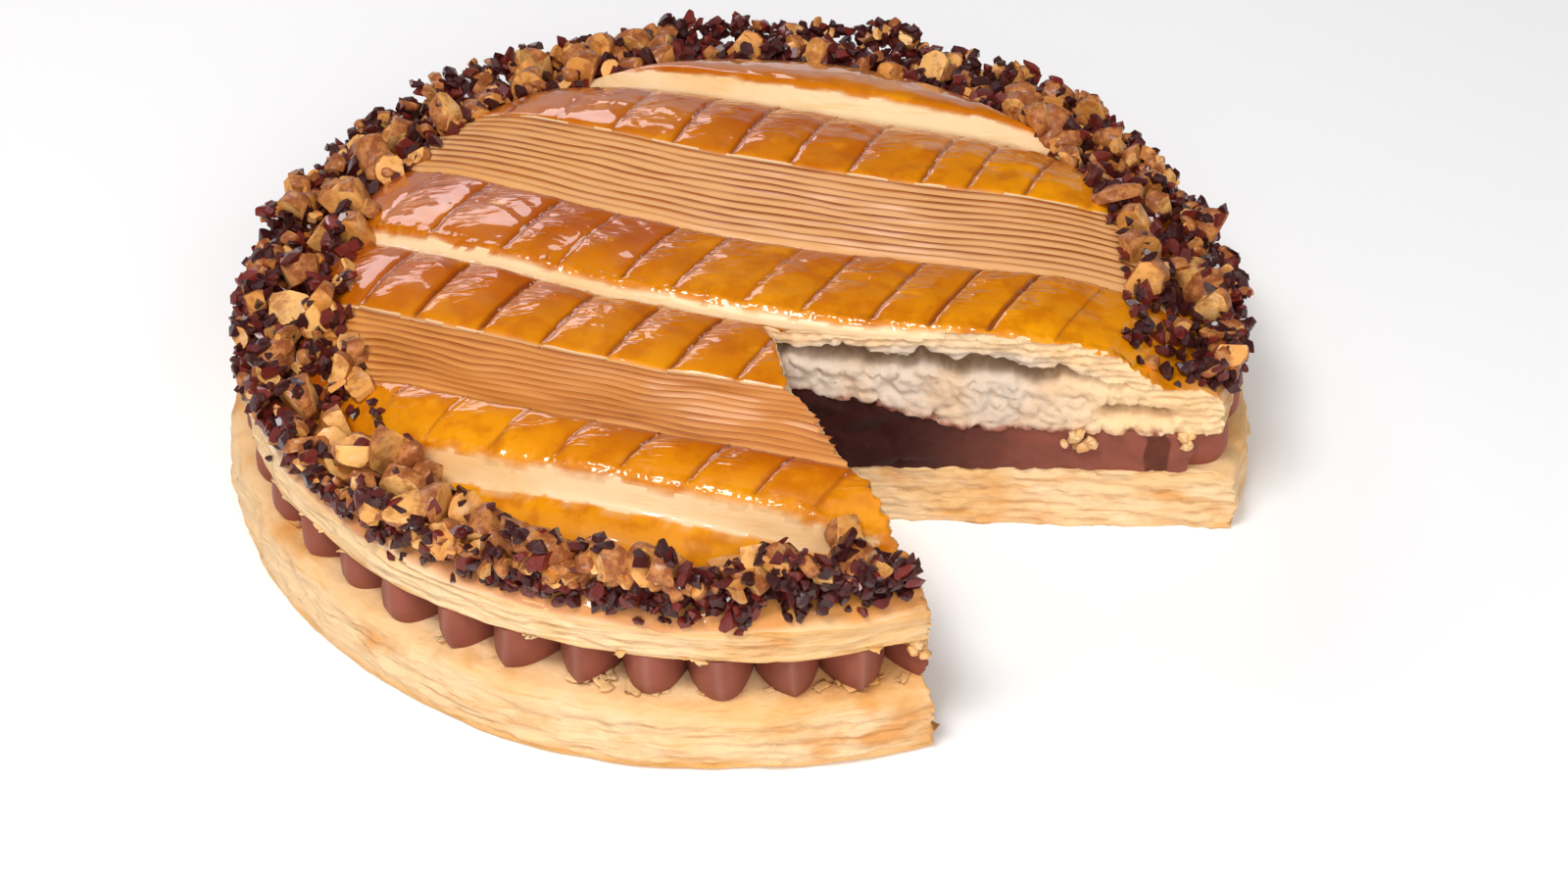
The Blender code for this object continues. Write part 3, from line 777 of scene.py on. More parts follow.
def glazed_crust():
    wish = colours()
    look = Look("glazed_crust", 0.35, coat=1.0, coat_roughness=0.04, specular=0.12)
    glaze = look.mix(look.shift(look.mark("bake"), 34, 4, 0.7), wish.glaze_gold, wish.glaze_amber)
    glaze = look.mottle(glaze, wish.glaze_amber, 0.5, 0.42, 0.66, 150, detail=4)
    glaze = look.mottle(glaze, (0.92, 0.36, 0.012), 0.42, 0.56, 0.74, 105, detail=3)
    glaze = look.mottle(glaze, wish.score_brown, 0.12, 0.64, 0.76, 420, detail=2)
    glaze = look.mix(look.times(look.mark("score"), 0.8), glaze, wish.score_brown)
    look.feed("Base Color", look.mix(look.mark("glaze"), pale_colour(look), glaze))
    wrinkles = look.ramp(look.noise(90, (1.0, 4.0, 1), turn=0.72, detail=2, warp=0.8), 0.42, 0.62)
    wrinkles = look.times(wrinkles, look.mark("wrinkle"))
    beads = look.times(look.noise(330, detail=1), look.mark("bead"))
    normal = look.bump((look.noise(120, detail=2), 0.22, 0.35), (wrinkles, 0.6, 0.5), (beads, 0.9, 1.1))
    look.feed("Coat Normal", normal)
    return look.material


def ribbed_crust():
    wish = colours()
    look = Look("ribbed_crust", 0.5, coat=0.16, coat_roughness=0.18, specular=0.25)
    pale = look.mix(look.mark("toast"), pale_colour(look), (0.66, 0.26, 0.05))
    tone = look.mottle(wish.rib_brown, (0.43, 0.12, 0.012), 1.0, 0.40, 0.65, 30, detail=4)
    look.feed("Base Color", look.mix(look.times(look.mark("crest"), 0.95), pale, tone))
    look.bump((look.noise(600, (1, 3, 1), turn=0.3, detail=3), 0.35, 0.15))
    return look.material


def flaky_edge(name, gilding):
    """The side of a disc: pale leaves with thin browned lines between them."""
    look = Look(name, 0.62, specular=0.35, subsurface=0.12)
    base = pale_colour(look)
    base = look.mottle(base, (0.62, 0.26, 0.055), 0.5, 0.54, 0.66, 60, (1, 1, 16), detail=6, rough=0.62)
    base = look.mottle(base, (0.84, 0.64, 0.40), 0.4, 0.48, 0.66, 85, (1, 1, 2.2), detail=5)
    base = look.mottle(base, (0.66, 0.27, 0.055), 0.85, 0.50, 0.72, 48, (1, 1, 2), detail=5)
    look.feed("Base Color", look.mix(look.shift(look.mark("gild"), 55, 3, gilding), base, colours().pale_gold))
    leaves = look.noise(70, (1, 1, 13), detail=6, rough=0.65)
    flakes = look.noise(210, (1, 1, 2.0), detail=5, rough=0.62)
    look.bump((leaves, 0.75, 0.7), (flakes, 0.8, 0.8))
    return look.material


def torn_crumb():
    wish = colours()
    look = Look("torn_crumb", 0.7, specular=0.3, subsurface=0.25)
    base = look.mix(look.mark("warm"), wish.crumb, wish.pale)
    base = look.mottle(base, wish.pale_gold, 0.3, 0.42, 0.72, 75, detail=5)
    # Hollows in the crumb are painted dark: painted shade, deeper the further the crumb stands back from the cut
    base = look.mix(look.mark("hollow"), base, wish.crumb_hollow_shade)
    look.feed("Base Color", look.mottle(base, wish.cream, look.mark("stain"), 0.3, 0.6, 140, detail=4))
    look.bump((look.noise(160, (1, 1, 1.8), detail=5, rough=0.62), 0.8, 0.9), (look.noise(620, detail=2), 0.3, 0.2))
    return look.material


def chocolate():
    wish = colours()
    look = Look("chocolate_cream", 0.5, specular=0.16)
    base = look.mottle(wish.cream, wish.cream_dark_and_cut_shadow, 0.25, 0.35, 0.75, 80, detail=4)
    # The cut faces go near-black, fading off to the right along the far wall: painted shadow of the missing slice over
    # the cut cream
    base = look.mix(look.times(look.mark("cut"), 0.95), base, wish.cream_dark_and_cut_shadow)
    # The front crease of each dollop is painted paler and redder: a painted highlight along its ridge
    look.feed("Base Color", look.mix(look.times(look.mark("crease"), 0.35), base, (0.34, 0.17, 0.13)))
    rough = look.times(look.noise(130, detail=6, rough=0.65), look.mark("cut"))
    look.bump((look.noise(420, (1, 1, 0.12), detail=3), 0.22, 0.15), (rough, 0.9, 1.2))
    return look.material


def roasted_nut():
    wish = colours()
    look = Look("roasted_nut", 0.42, coat=0.16, coat_roughness=0.12, specular=0.25)
    cut = look.mix(look.mark("tint"), wish.nut, (0.86, 0.47, 0.15))
    cut = look.mottle(cut, (0.36, 0.11, 0.022), 0.75, 0.45, 0.60, 210, detail=5, rough=0.65)
    # Pale patches on the cut faces: painted highlights
    cut = look.mottle(cut, (0.82, 0.55, 0.30), 0.5, 0.52, 0.72, 270, detail=4)
    skin = look.mottle(wish.nut_skin, (0.50, 0.19, 0.055), 1.0, 0.42, 0.62, 380, detail=5, rough=0.7)
    look.feed("Base Color", look.mix(look.mark("skin"), cut, skin))
    look.bump((look.noise(520, detail=4), 0.5, 0.3), (look.noise(230, detail=4), 0.6, 0.7))
    return look.material


def cocoa_nib():
    wish = colours()
    look = Look("cocoa_nib", 0.4, coat=0.5, coat_roughness=0.08, specular=0.2)
    base = look.mix(look.ramp(look.mark("tint"), 0.45, 1.0), wish.nib, wish.nib_red)
    look.feed("Base Color", look.mottle(base, (0.17, 0.045, 0.035), 0.4, 0.5, 0.75, 500, detail=3))
    look.bump((look.noise(520, detail=4), 0.7, 0.5))
    return look.material


# The pieces


class GALETTE_OT_lower_disc(bpy.types.Operator):
    """Bakes the lower disc of puff pastry, with its flaky edge and cut faces"""

    bl_idname = "galette.lower_disc"
    bl_label = "Lower disc"

    def execute(self, context):
        top, radius = LOWER_HEIGHT, LOWER_RADIUS
        profile = [(0, top)] + [(reach, top) for reach in range(20, int(radius) - 6, 4)]
        turn = np.linspace(0, math.pi / 2, 8)
        profile += [(radius - 4.5 + 4.5 * math.sin(a), top - 4.0 + 4.0 * math.cos(a)) for a in turn]
        profile += [(radius + 0.5 * math.sin(level * 0.3), level) for level in np.arange(top - 4.4, 0.6, -0.42)]
        profile += [(radius - 0.7, 0.25), (radius - 1.6, 0), (0, 0)]
        disc = turned("lower_disc", profile, 660)
        points = points_of(disc)
        spread, angle = polar(points / MM)
        high = points[:, 2] / MM
        crown = 0.7 * field(points[:, 0] / MM / 14, points[:, 1] / MM / 14, 71, 4) * ease(1, 3, high)
        puff = 0.55 * field(angle * EDGE_ARC / 5, high / 3.2, 73, 2) * ease(100, 112, spread) * ease(0.8, 3, high)
        points[:, :2] *= (1 + puff / spread.clip(1))[:, None]
        points[:, 2] += crown * MM * ease(80, 95, spread)
        leaves = leafy(points, radius - 9, 0.5, top, 72, 0.8 * sizes().leaf_reach / MM)
        low = points[:, 2] < 0.3 * MM
        leaves[low, 2] = points[low, 2]
        move_points(disc, leaves)

        def depth(along, height):
            leaf = np.floor((height + 0.5 * field(along / 14, height / 9, 75)) / 1.3)
            return 0.75 * field(along / 6 + leaf * 5.1, leaf * 2.7, 76, 3) + 0.3 * field(along / 2, height, 77)

        carve(disc, notch_block("slice_below", -4, top + 6, 40, 1.0, depth))
        points = points_of(disc)
        spread, high = polar(points / MM)[0], points[:, 2] / MM
        gild = 0.75 * bell(high, 1.0, 1.7) * ease(radius - 6, radius - 2, spread)
        gild += 0.35 * ease(radius - 9, radius - 3, spread) * ease(top - 4, top, high)
        paint(disc, gild=np.clip(gild, 0, 1))
        disc.data.shade_smooth()
        put_on(disc, "pale_pastry", "bottom_pastry", flaky_edge("pale_pastry", 0.8))
        return {"FINISHED"}


class GALETTE_OT_cream(bpy.types.Operator):
    """Pipes the chocolate cream: a mound in the middle and creased dollops round the rim"""

    bl_idname = "galette.cream"
    bl_label = "Chocolate cream"

    def dollop(self, index):
        """One dollop, drawn with the same chances as the CAD model's."""
        chance = random.Random(f"dollop_{index}")
        width = DOLLOP_HALF_WIDTH * chance.uniform(0.93, 1.03)
        reach = DOLLOP_REACH - chance.uniform(0.0, 1.4)
        centre = reach - DOLLOP_LENGTH
        angle = DOLLOP_TURN + index * math.tau / DOLLOPS_ROUND + chance.uniform(-0.25, 0.25) / centre
        start_fresh()
        bpy.ops.mesh.primitive_cylinder_add(vertices=36, radius=1, depth=1)
        drop = named(f"dollop_{index}")
        divide_upright(drop, 11)
        points = points_of(drop)
        level = points[:, 2] + 0.5
        full = 1 - 0.20 * (1 - ease(-0.15, 0.38, level)) - 0.07 * ease(0.5, 1.1, level)
        side = np.minimum(1, np.abs(points[:, 1]))
        crease = 0.68 * chance.choice((0.12, 0.5, 0.62, 0.7, 0.6))
        front = DOLLOP_LENGTH * full * (1 - crease * side - (1 - crease) * side**2.9)
        x = np.where(points[:, 0] > -1e-4, front, -DOLLOP_BACK * np.abs(points[:, 0]))
        lean = chance.uniform(-1.4, 1.4)
        y = np.sign(points[:, 1]) * width * side * (0.5 + 0.5 * full) + lean * (1 - level) ** 1.5 * (1 - side)
        bulge = 0.25 * field(y / 4 + index, level * 2, 90)
        foot, height = LOWER_HEIGHT - 0.2, UPPER_UNDERSIDE + 0.3 - LOWER_HEIGHT
        x = centre + x + bulge
        spot = np.stack((x * math.cos(angle) - y * math.sin(angle), x * math.sin(angle) + y * math.cos(angle)), 1)
        z = foot + height * level
        move_points(drop, np.column_stack((spot, z)) * MM)
        # crease marks the front ridge of the dollop, where the cream's material paints a highlight
        paint(drop, crease=np.where(points[:, 0] > 0, bell(side, 0, 0.10), 0.0), cut=0.0)
        return drop, angle, centre

    def execute(self, context):
        profile = [(reach, cream_top(reach) + 0.35) for reach in np.linspace(0, MOUND_RADIUS, 24)]
        profile += [(MOUND_RADIUS + 10, UPPER_UNDERSIDE + 0.2), (CREAM_RADIUS, UPPER_UNDERSIDE + 0.2)]
        profile += [(CREAM_RADIUS + 1.5, UPPER_UNDERSIDE - 3), (CREAM_RADIUS + 0.8, LOWER_HEIGHT - 0.1)]
        core = turned("piped_cream", [*profile, (0, LOWER_HEIGHT - 0.1)], 240)

        def depth(along, height):
            smear = 0.8 * field(along / 11, height / 5, 81, 3) + 0.4 * field(along / 2.6, height / 1.8, 82, 2)
            return smear + 1.3 * lumps(along, height, 13, 83) ** 3 - 0.2

        cutter = notch_block("slice_of_cream", LOWER_HEIGHT - 3, 58, 46, 1.0, depth)
        carve(core, cutter, keep=True)
        distance, along = wall_marks(core)
        # cut is 1 on the cut faces and fades away to the right along the far wall, so it paints the slice's shadow as
        # well as marking the cut
        paint(core, crease=0.0, cut=(1 - ease(1.8, 3.0, distance)) * (1 - 0.96 * ease(28, 78, along)))
        pieces = [core]
        for index in range(DOLLOPS_ROUND):
            drop, angle, centre = self.dollop(index)
            middle = Vector((math.cos(angle), math.sin(angle))) * centre
            gap = min((Vector(point) - middle).length for point in wall_path(2.0)[0])
            gone = in_notch(middle) and gap > 8.5
            if gap < 13 and not gone:
                carve(drop, cutter, keep=True)
                gone = not drop.data.vertices
            if gone:
                discard(drop)
            else:
                pieces.append(drop)
        discard(cutter)
        start_fresh()
        for piece in pieces:
            piece.select_set(True)
        context.view_layer.objects.active = core
        bpy.ops.object.join()
        core.data.shade_smooth()
        core.data.set_sharp_from_angle(angle=math.radians(38))
        put_on(core, "chocolate_cream", "chocolate_cream", chocolate())
        return {"FINISHED"}


class GALETTE_OT_upper_disc(bpy.types.Operator):
    """Bakes the upper disc: the banded, glazed dome, its flaky edge and the torn crumb at the cut"""

    bl_idname = "galette.upper_disc"
    bl_label = "Upper disc"

    def execute(self, context):
        radius, under, top = UPPER_RADIUS, UPPER_UNDERSIDE, RIM_TOP
        profile = [(0, LID)]
        profile += [(SLOPE_FOOT - (level - top) / SLOPE, level) for level in np.linspace(LID, top, 30)]
        profile += [(reach, top) for reach in (106, 108, SHOULDER_START)]
        turn = np.linspace(0, math.pi / 2, 12)[1:]
        profile += [(reach, shoulder(reach)) for reach in SHOULDER_START + (radius - SHOULDER_START) * np.sin(turn)]
        profile += [(radius, level) for level in np.arange(top - SHOULDER_DROP - 0.3, under + 0.2, -0.34)]
        profile += [(radius - 0.8, under), (radius - 5, under), (radius - 15, under)]
        profile += [(reach, cream_top(reach)) for reach in np.linspace(MOUND_RADIUS, 0, 16)]
        disc = turned("upper_disc", profile, 600)
        block, read = top_block()
        carve(disc, block, "INTERSECT")
        points = points_of(disc)
        spread, high = polar(points / MM)[0], points[:, 2] / MM
        rim = ease(103, 108, spread) * ease(top - 1.2, top - 0.4, high)
        points[:, 2] += rim * 0.5 * field(points[:, 0] / MM / 9, points[:, 1] / MM / 9, 91, 2) * MM
        move_points(disc, leafy(points, radius - 7, under, top, 92, sizes().leaf_reach / MM))

        def depth(along, height):
            walls, path = wall_path(1.0)
            order = np.argsort(path)
            crust = dome(np.hypot(*walls[order].T)) - 0.3
            return crumb_depth(along, height, np.interp(along, path[order], crust))

        self.sort_faces(disc, read)
        carve(disc, notch_block("slice_above", 22, 64, 66, 0.7, depth))
        self.mark(disc, read)
        disc.data.shade_smooth()
        kept = np.empty(len(disc.data.polygons), dtype=int)
        disc.data.polygons.foreach_get("material_index", kept)
        looks = glazed_crust(), ribbed_crust(), flaky_edge("flaky_rim", 0.5), torn_crumb()
        put_on(disc, "glazed_pastry", "top_pastry", *looks)
        disc.data.polygons.foreach_set("material_index", kept)
        return {"FINISHED"}

    def mark(self, disc, read):
        """Stores what the materials read: glaze, scores, glaze tone, beads and the colours of the cut, with painted
        shade in its hollows.
        """
        points = points_of(disc)
        here = read(points)
        spread, angle = polar(points / MM)
        x, y, high = points.T / MM
        edge = RIM_TOP - 4.2 + 1.0 * ripple(angle * EDGE_ARC / 12, 93, 2)
        rim_glaze = ease(edge - 1.2, edge + 0.8, high) * (1 - 0.25 * ease(106, 112, spread))
        glaze = np.where(spread > CRUST_END, rim_glaze, here["glaze"])
        # Glaze tone from gold to amber: darker to the left, to the back, on the far side of each band and out at the
        # rim, paler at the far edge, with spots and noise
        bake = 0.58 - 0.0044 * x + 0.0034 * y + 0.45 * (here["far_side"] - FLAT_SHARE) * (spread < CRUST_END)
        for change, to_right, width, to_back, depth in GLAZE_SPOTS:
            bake += change * bell(x, to_right, width) * bell(y, to_back, depth)
        bake += 0.16 * field(x / 26, y / 26, 94, 3) + 0.35 * ease(96, 103, spread) - 0.3 * ease(82, 90, y)
        inner = spread < SCORES_END
        distance = wall_marks(disc)[0]
        paint(
            disc,
            glaze=np.clip(glaze, 0, 1), score=np.clip(here["score"], 0, 1) * inner, bake=np.clip(bake, 0, 1),
            crest=here["crest"], toast=here["toast"], wrinkle=np.clip(here["slip"], 0, 1) * inner,
            # hollow: painted shade, darker the further a point stands back from the walls of the notch
            bead=here["bead"] * inner, hollow=ease(1.6, 5.5, distance) * 0.85,
            warm=np.clip(ease(70, 98, spread) + 0.8 * (1 - ease(3.5, 6.5, dome(spread) - high)), 0, 1),
            stain=(1 - ease(0.2, 2.2, high - cream_top(spread))) * (spread < 104),
            gild=0.55 * (1 - ease(0.3, 1.6, high - UPPER_UNDERSIDE)) + 0.6 * ease(RIM_TOP - 7, RIM_TOP - 4, high),
        )

    def sort_faces(self, disc, read):
        """Gives each face the crust, the ribs or the flaky side."""
        centre, normal = np.empty((2, len(disc.data.polygons) * 3))
        disc.data.polygons.foreach_get("center", centre)
        disc.data.polygons.foreach_get("normal", normal)
        centre, up = centre.reshape(-1, 3), normal.reshape(-1, 3)[:, 2]
        spread = polar(centre)[0] / MM
        here = read(centre)
        slot = np.zeros(len(centre), dtype=int)
        slot[((here["ribbed"] > 0.5) | (here["glaze"] < 0.06)) & (spread < CRUST_END)] = 1
        slot[(spread > CRUST_END) & (centre[:, 2] < (RIM_TOP - 5.0) * MM) | (up < -0.2)] = 2
        set_slots(disc, slot)


# Chopped nuts and nibs


def chunk(name, cuts, radii, subdivisions, chance, bevel):
    """A rounded body sliced flat by a few planes. Its cut faces carry no skin."""
    start_fresh()
    bpy.ops.mesh.primitive_ico_sphere_add(subdivisions=subdivisions, radius=1)
    piece = named(name)
    points = points_of(piece) * np.array(radii)
    points *= 1 + 0.08 * np.array([chance.uniform(-1, 1) for point in points])[:, None]
    move_points(piece, points)
    shape = bmesh.new()
    shape.from_mesh(piece.data)
    skin = shape.faces.layers.float.new("skin")
    for face in shape.faces:
        face[skin] = 1.0
    for direction, offset in cuts:
        normal = Vector(direction).normalized()
        geometry = shape.verts[:] + shape.edges[:] + shape.faces[:]
        cut = bmesh.ops.bisect_plane(shape, geom=geometry, plane_co=normal * offset, plane_no=normal, clear_outer=True)
        rim = [item for item in cut["geom_cut"] if isinstance(item, bmesh.types.BMEdge)]
        if rim:
            for face in bmesh.ops.holes_fill(shape, edges=rim)["faces"]:
                face[skin] = 0.0
    edges, turn = shape.edges, math.radians(7)
    bmesh.ops.dissolve_limit(shape, angle_limit=turn, verts=shape.verts, edges=edges, delimit={"MATERIAL"})
    if bevel:
        sharp = [edge for edge in shape.edges if len(edge.link_faces) == 2 and edge.calc_face_angle(0) > 0.5]
        bmesh.ops.bevel(shape, geom=sharp, offset=bevel, segments=1, affect="EDGES", clamp_overlap=True)
    bmesh.ops.triangulate(shape, faces=[face for face in shape.faces if len(face.verts) > 4])
    bmesh.ops.recalc_face_normals(shape, faces=shape.faces)
    shape.to_mesh(piece.data)
    shape.free()
    move_points(piece, points_of(piece) - points_of(piece).mean(0))
    return piece


def nut_shapes(chance, detail):
    """Chopped almonds and hazelnuts: blunt chunks, split halves and thin slices, about one unit long."""
    draw = chance.uniform
    bevel = 0.01 * (detail > 2)
    shapes = []
    for index in range(6):
        cuts = [((draw(0.5, 1), draw(-0.5, 0.5), draw(-0.4, 0.4)), draw(0.15, 0.3))]
        cuts.append(((-1, draw(-0.5, 0.5), draw(-0.5, 0.5)), draw(0.1, 0.35)))
        cuts.append(((draw(-0.4, 0.4), 1, draw(-0.6, 0.6)), draw(0.14, 0.30)))
        shapes.append(chunk(f"nut_chunk_{index}", cuts, (0.64, 0.43, 0.41), detail, chance, 5 * bevel))
    for index in range(3):
        cuts = [((0, draw(-0.1, 0.1), 1), draw(0.0, 0.08)), ((1, draw(-0.4, 0.4), 0), draw(0.2, 0.45))]
        shapes.append(chunk(f"nut_half_{index}", cuts, (0.58, 0.34, 0.30), detail, chance, 4 * bevel))
    cuts = [((0.1, 0, 1), 0.10), ((0, 0.1, -1), 0.08), ((1, draw(-0.5, 0.5), 0), draw(0.15, 0.4))]
    return [*shapes, chunk("nut_slice", cuts, (0.60, 0.32, 0.30), detail, chance, 0.0)]


def nib_shapes(chance):
    """Splinters of cocoa bean, with five flat faces each."""
    draw = chance.uniform
    shapes = []
    for index in range(9):
        cuts = [([draw(-1, 1) for axis in range(3)], draw(0.10, 0.28)) for turn in range(5)]
        shapes.append(chunk(f"nib_{index}", cuts, (0.72, draw(0.30, 0.50), draw(0.20, 0.40)), 1, chance, 0.0))
    return shapes


class Heap:
    """A height map of what lies on the rim so far, on which pieces are dropped one by one."""

    step = 0.8
    reach = 126

    def __init__(self):
        places = np.arange(-self.reach, self.reach, self.step)
        x, y = np.meshgrid(places, places, indexing="ij")
        radius = np.hypot(x, y)
        across = x * ACROSS[0] + y * ACROSS[1] - BAND_BOW * (x * ALONG[0] + y * ALONG[1]) ** 2
        surface = np.minimum(dome(radius) + tier(across), slope_height(radius))
        self.height = np.where(radius < SHOULDER_START, np.maximum(RIM_TOP, surface), shoulder(radius))
        self.height[radius > UPPER_RADIUS + 0.8] = 20.0

    def drop(self, samples, sink):
        """How high a piece rests, given points of its skin about its centre; it then counts as part of the heap."""
        spots = np.rint((samples[:, :2] + self.reach) / self.step).astype(int)
        i, j = np.clip(spots, 0, self.height.shape[0] - 1).T
        lift = np.percentile(self.height[i, j] - samples[:, 2], 100 - sink)
        self.height[i, j] = np.maximum(self.height[i, j], samples[:, 2] + lift)
        return lift


def dense_samples(obj):
    """The corners, face centres and edge middles of a shape."""
    points = points_of(obj)
    faces = np.array([tuple(face.center) for face in obj.data.polygons])
    edges = np.array([(points[edge.vertices[0]] + points[edge.vertices[1]]) / 2 for edge in obj.data.edges])
    return np.vstack((points, faces, edges))


def tumble(chance, tilt):
    """Any turn about Z, with leans of about the tilt."""
    turn = Matrix.Rotation(chance.uniform(0, math.tau), 3, "Z")
    for axis in "XY":
        turn = turn @ Matrix.Rotation(chance.gauss(0, tilt), 3, axis)
    return turn


def polygons_of(obj):
    return [tuple(face.vertices) for face in obj.data.polygons]


def scatter(name, shapes, wanted, tilt, heap, chance, sink, crispness):
    """Drops copies of the shapes on the heap and joins them. wanted lists (angle, radius, length) for each."""
    stock, copies, skins, tints = [], [], [], []
    for shape in shapes:
        skin = np.empty(len(shape.data.polygons))
        shape.data.attributes["skin"].data.foreach_get("value", skin)
        stock.append((points_of(shape), polygons_of(shape), skin, dense_samples(shape)))
    for angle, radius, size in wanted:
        points, polygons, skin, samples = chance.choice(stock)
        turn = tumble(chance, tilt) @ Matrix.Rotation(chance.choice((0, math.pi)), 3, "X")
        matrix = np.array(turn) * size
        centre = np.array((radius * math.cos(angle), radius * math.sin(angle), 0.0))
        lift = heap.drop(samples @ matrix.T + centre, sink)
        copies.append((points @ matrix.T + centre + (0, 0, lift), polygons))
        skins.append(skin)
        tints.append(np.full(len(points), chance.random()))
    discard(*shapes)
    obj = gather(name, copies)
    obj.data.attributes.new("skin", "FLOAT", "FACE").data.foreach_set("value", np.concatenate(skins))
    paint(obj, tint=np.concatenate(tints))
    obj.data.set_sharp_from_angle(angle=math.radians(crispness))
    return obj


def nut_share(angle):
    return float(read_table(NUT_SHARES, (math.degrees(angle) + 180) % 360 - 180))


def ring_places(count, chance, shares, shortest, longest, margin, spill=0.0):
    """Evenly spread places on the ring. shares: how many stay where no large nuts lie, and the change with them."""
    places = []
    for index in range(count):
        angle = (index * GOLDEN_TURN + chance.uniform(-0.03, 0.03)) % math.tau
        size = shortest + (longest - shortest) * chance.random() ** 1.4
        outer = HEAP_OUTER + 1.2 * math.sin(angle) + spill - 0.36 * size
        inner = min(nut_edge(angle) + margin + 0.30 * size, outer - 3)
        radius = math.sqrt(chance.uniform(inner**2, outer**2))
        spot = (radius * math.cos(angle), radius * math.sin(angle))
        stays = chance.random() <= shares[0] + shares[1] * nut_share(angle)
        if stays and not in_notch(spot, 0.42 * size):
            places.append((angle, radius, size))
    return places


class GALETTE_OT_nuts(bpy.types.Operator):
    """Drops the cocoa nibs and the chopped nuts on the rim, one by one"""

    bl_idname = "galette.nuts"
    bl_label = "Nuts and nibs"

    def execute(self, context):
        wish = sizes()
        chance = random.Random(wish.seed)
        nibs = ring_places(NIB_PLACES, chance, (1.0, -0.68), SHORTEST_NIB, wish.nib_longest / MM, 0.5)
        nibs += ring_places(EDGE_NIB_PLACES, chance, (1.0, -0.45), SHORTEST_NIB, 6.0, 19.5, 0.4)
        nuts = ring_places(NUT_PLACES, chance, (0.0, 1.0), wish.nut_shortest / MM, wish.nut_longest / MM, 0.0)
        chips = ring_places(CHIP_PLACES, chance, (0.35, 0.5), SHORTEST_CHIP, wish.chip_longest / MM, -0.5)
        chips += ring_places(EDGE_CHIP_PLACES, chance, (0.3, 0.5), SHORTEST_CHIP, 7.0, 18.0)
        over, under = nibs[::4], [nib for index, nib in enumerate(nibs) if index % 4]
        heap, nut_look, nib_look = Heap(), roasted_nut(), cocoa_nib()
        drops = (
            # name, shapes, places, lean, share of a piece that sinks in, crispness and look
            ("cocoa_nibs_below", lambda: nib_shapes(chance), under, 1.0, 25, 24, nib_look),
            ("nut_chips", lambda: nut_shapes(chance, 2), chips, 0.7, 30, 42, nut_look),
            ("chopped_nuts", lambda: nut_shapes(chance, 3), nuts, 0.45, 34, 42, nut_look),
            ("cocoa_nibs_above", lambda: nib_shapes(chance), over, 1.0, 38, 24, nib_look),
        )
        for name, shapes, wanted, tilt, sink, crispness, look in drops:
            piece = scatter(name, shapes(), wanted, tilt, heap, chance, sink, crispness)
            put_on(piece, "roasted_nuts", "nut_topping", look)
        self.lone_nut(nut_look)
        return {"FINISHED"}

    def lone_nut(self, look):
        """The one piece of nut that rolled onto the glaze beside the notch."""
        low, high = (Vector(corner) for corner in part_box("lone_nut"))
        cuts = [((1, 0.3, 0), 0.34), ((-0.3, 1, 0.2), 0.3), ((0.2, -0.3, 1), 0.34)]
        piece = chunk("lone_nut_piece", cuts, (0.62, 0.5, 0.52), 3, random.Random(5), 0.05)
        points = points_of(piece)
        reach = points.max(0) - points.min(0)
        middle = (points.max(0) + points.min(0)) / 2
        move_points(piece, (points - middle) / reach * np.array(high - low) + np.array((low + high) / 2))
        paint(piece, tint=0.2)
        piece.data.shade_smooth()
        piece.data.set_sharp_from_angle(angle=math.radians(42))
        put_on(piece, "roasted_nuts", "lone_nut", look)


def flake_shapes(chance):
    """Curled shards of pastry leaf, about one unit long."""
    shapes = []
    for index in range(SHARDS):
        start_fresh()
        bpy.ops.mesh.primitive_grid_add(x_subdivisions=7, y_subdivisions=3, size=1)
        shard = named(f"shard_{index}")
        points = points_of(shard)
        curl, twist = chance.uniform(0.1, 0.5), chance.uniform(-0.6, 0.6)
        ragged = 1 + 0.45 * field(points[:, 0] * 6 + index * 7, points[:, 1] * 5, 120 + index)
        points[:, 0] *= ragged
        points[:, 1] *= chance.uniform(0.4, 0.75) * ragged[::-1]
        points[:, 2] = curl * points[:, 0] ** 2 + twist * points[:, 0] * points[:, 1]
        move_points(shard, points)
        shard.modifiers.new("thickness", "SOLIDIFY").thickness = 0.05
        apply_all(shard)
        shapes.append(shard)
    for index in range(CRUMBS):
        start_fresh()
        bpy.ops.mesh.primitive_ico_sphere_add(subdivisions=2, radius=0.4)
        lump = named(f"crumb_{index}")
        points = points_of(lump)
        swell = 1 + 0.45 * field(points[:, 0] * 5 + index * 9, points[:, 1] * 5 + points[:, 2] * 4, 110 + index, 2)
        move_points(lump, points * swell[:, None] * (1, 0.8, 0.6))
        shapes.append(lump)
    return shapes


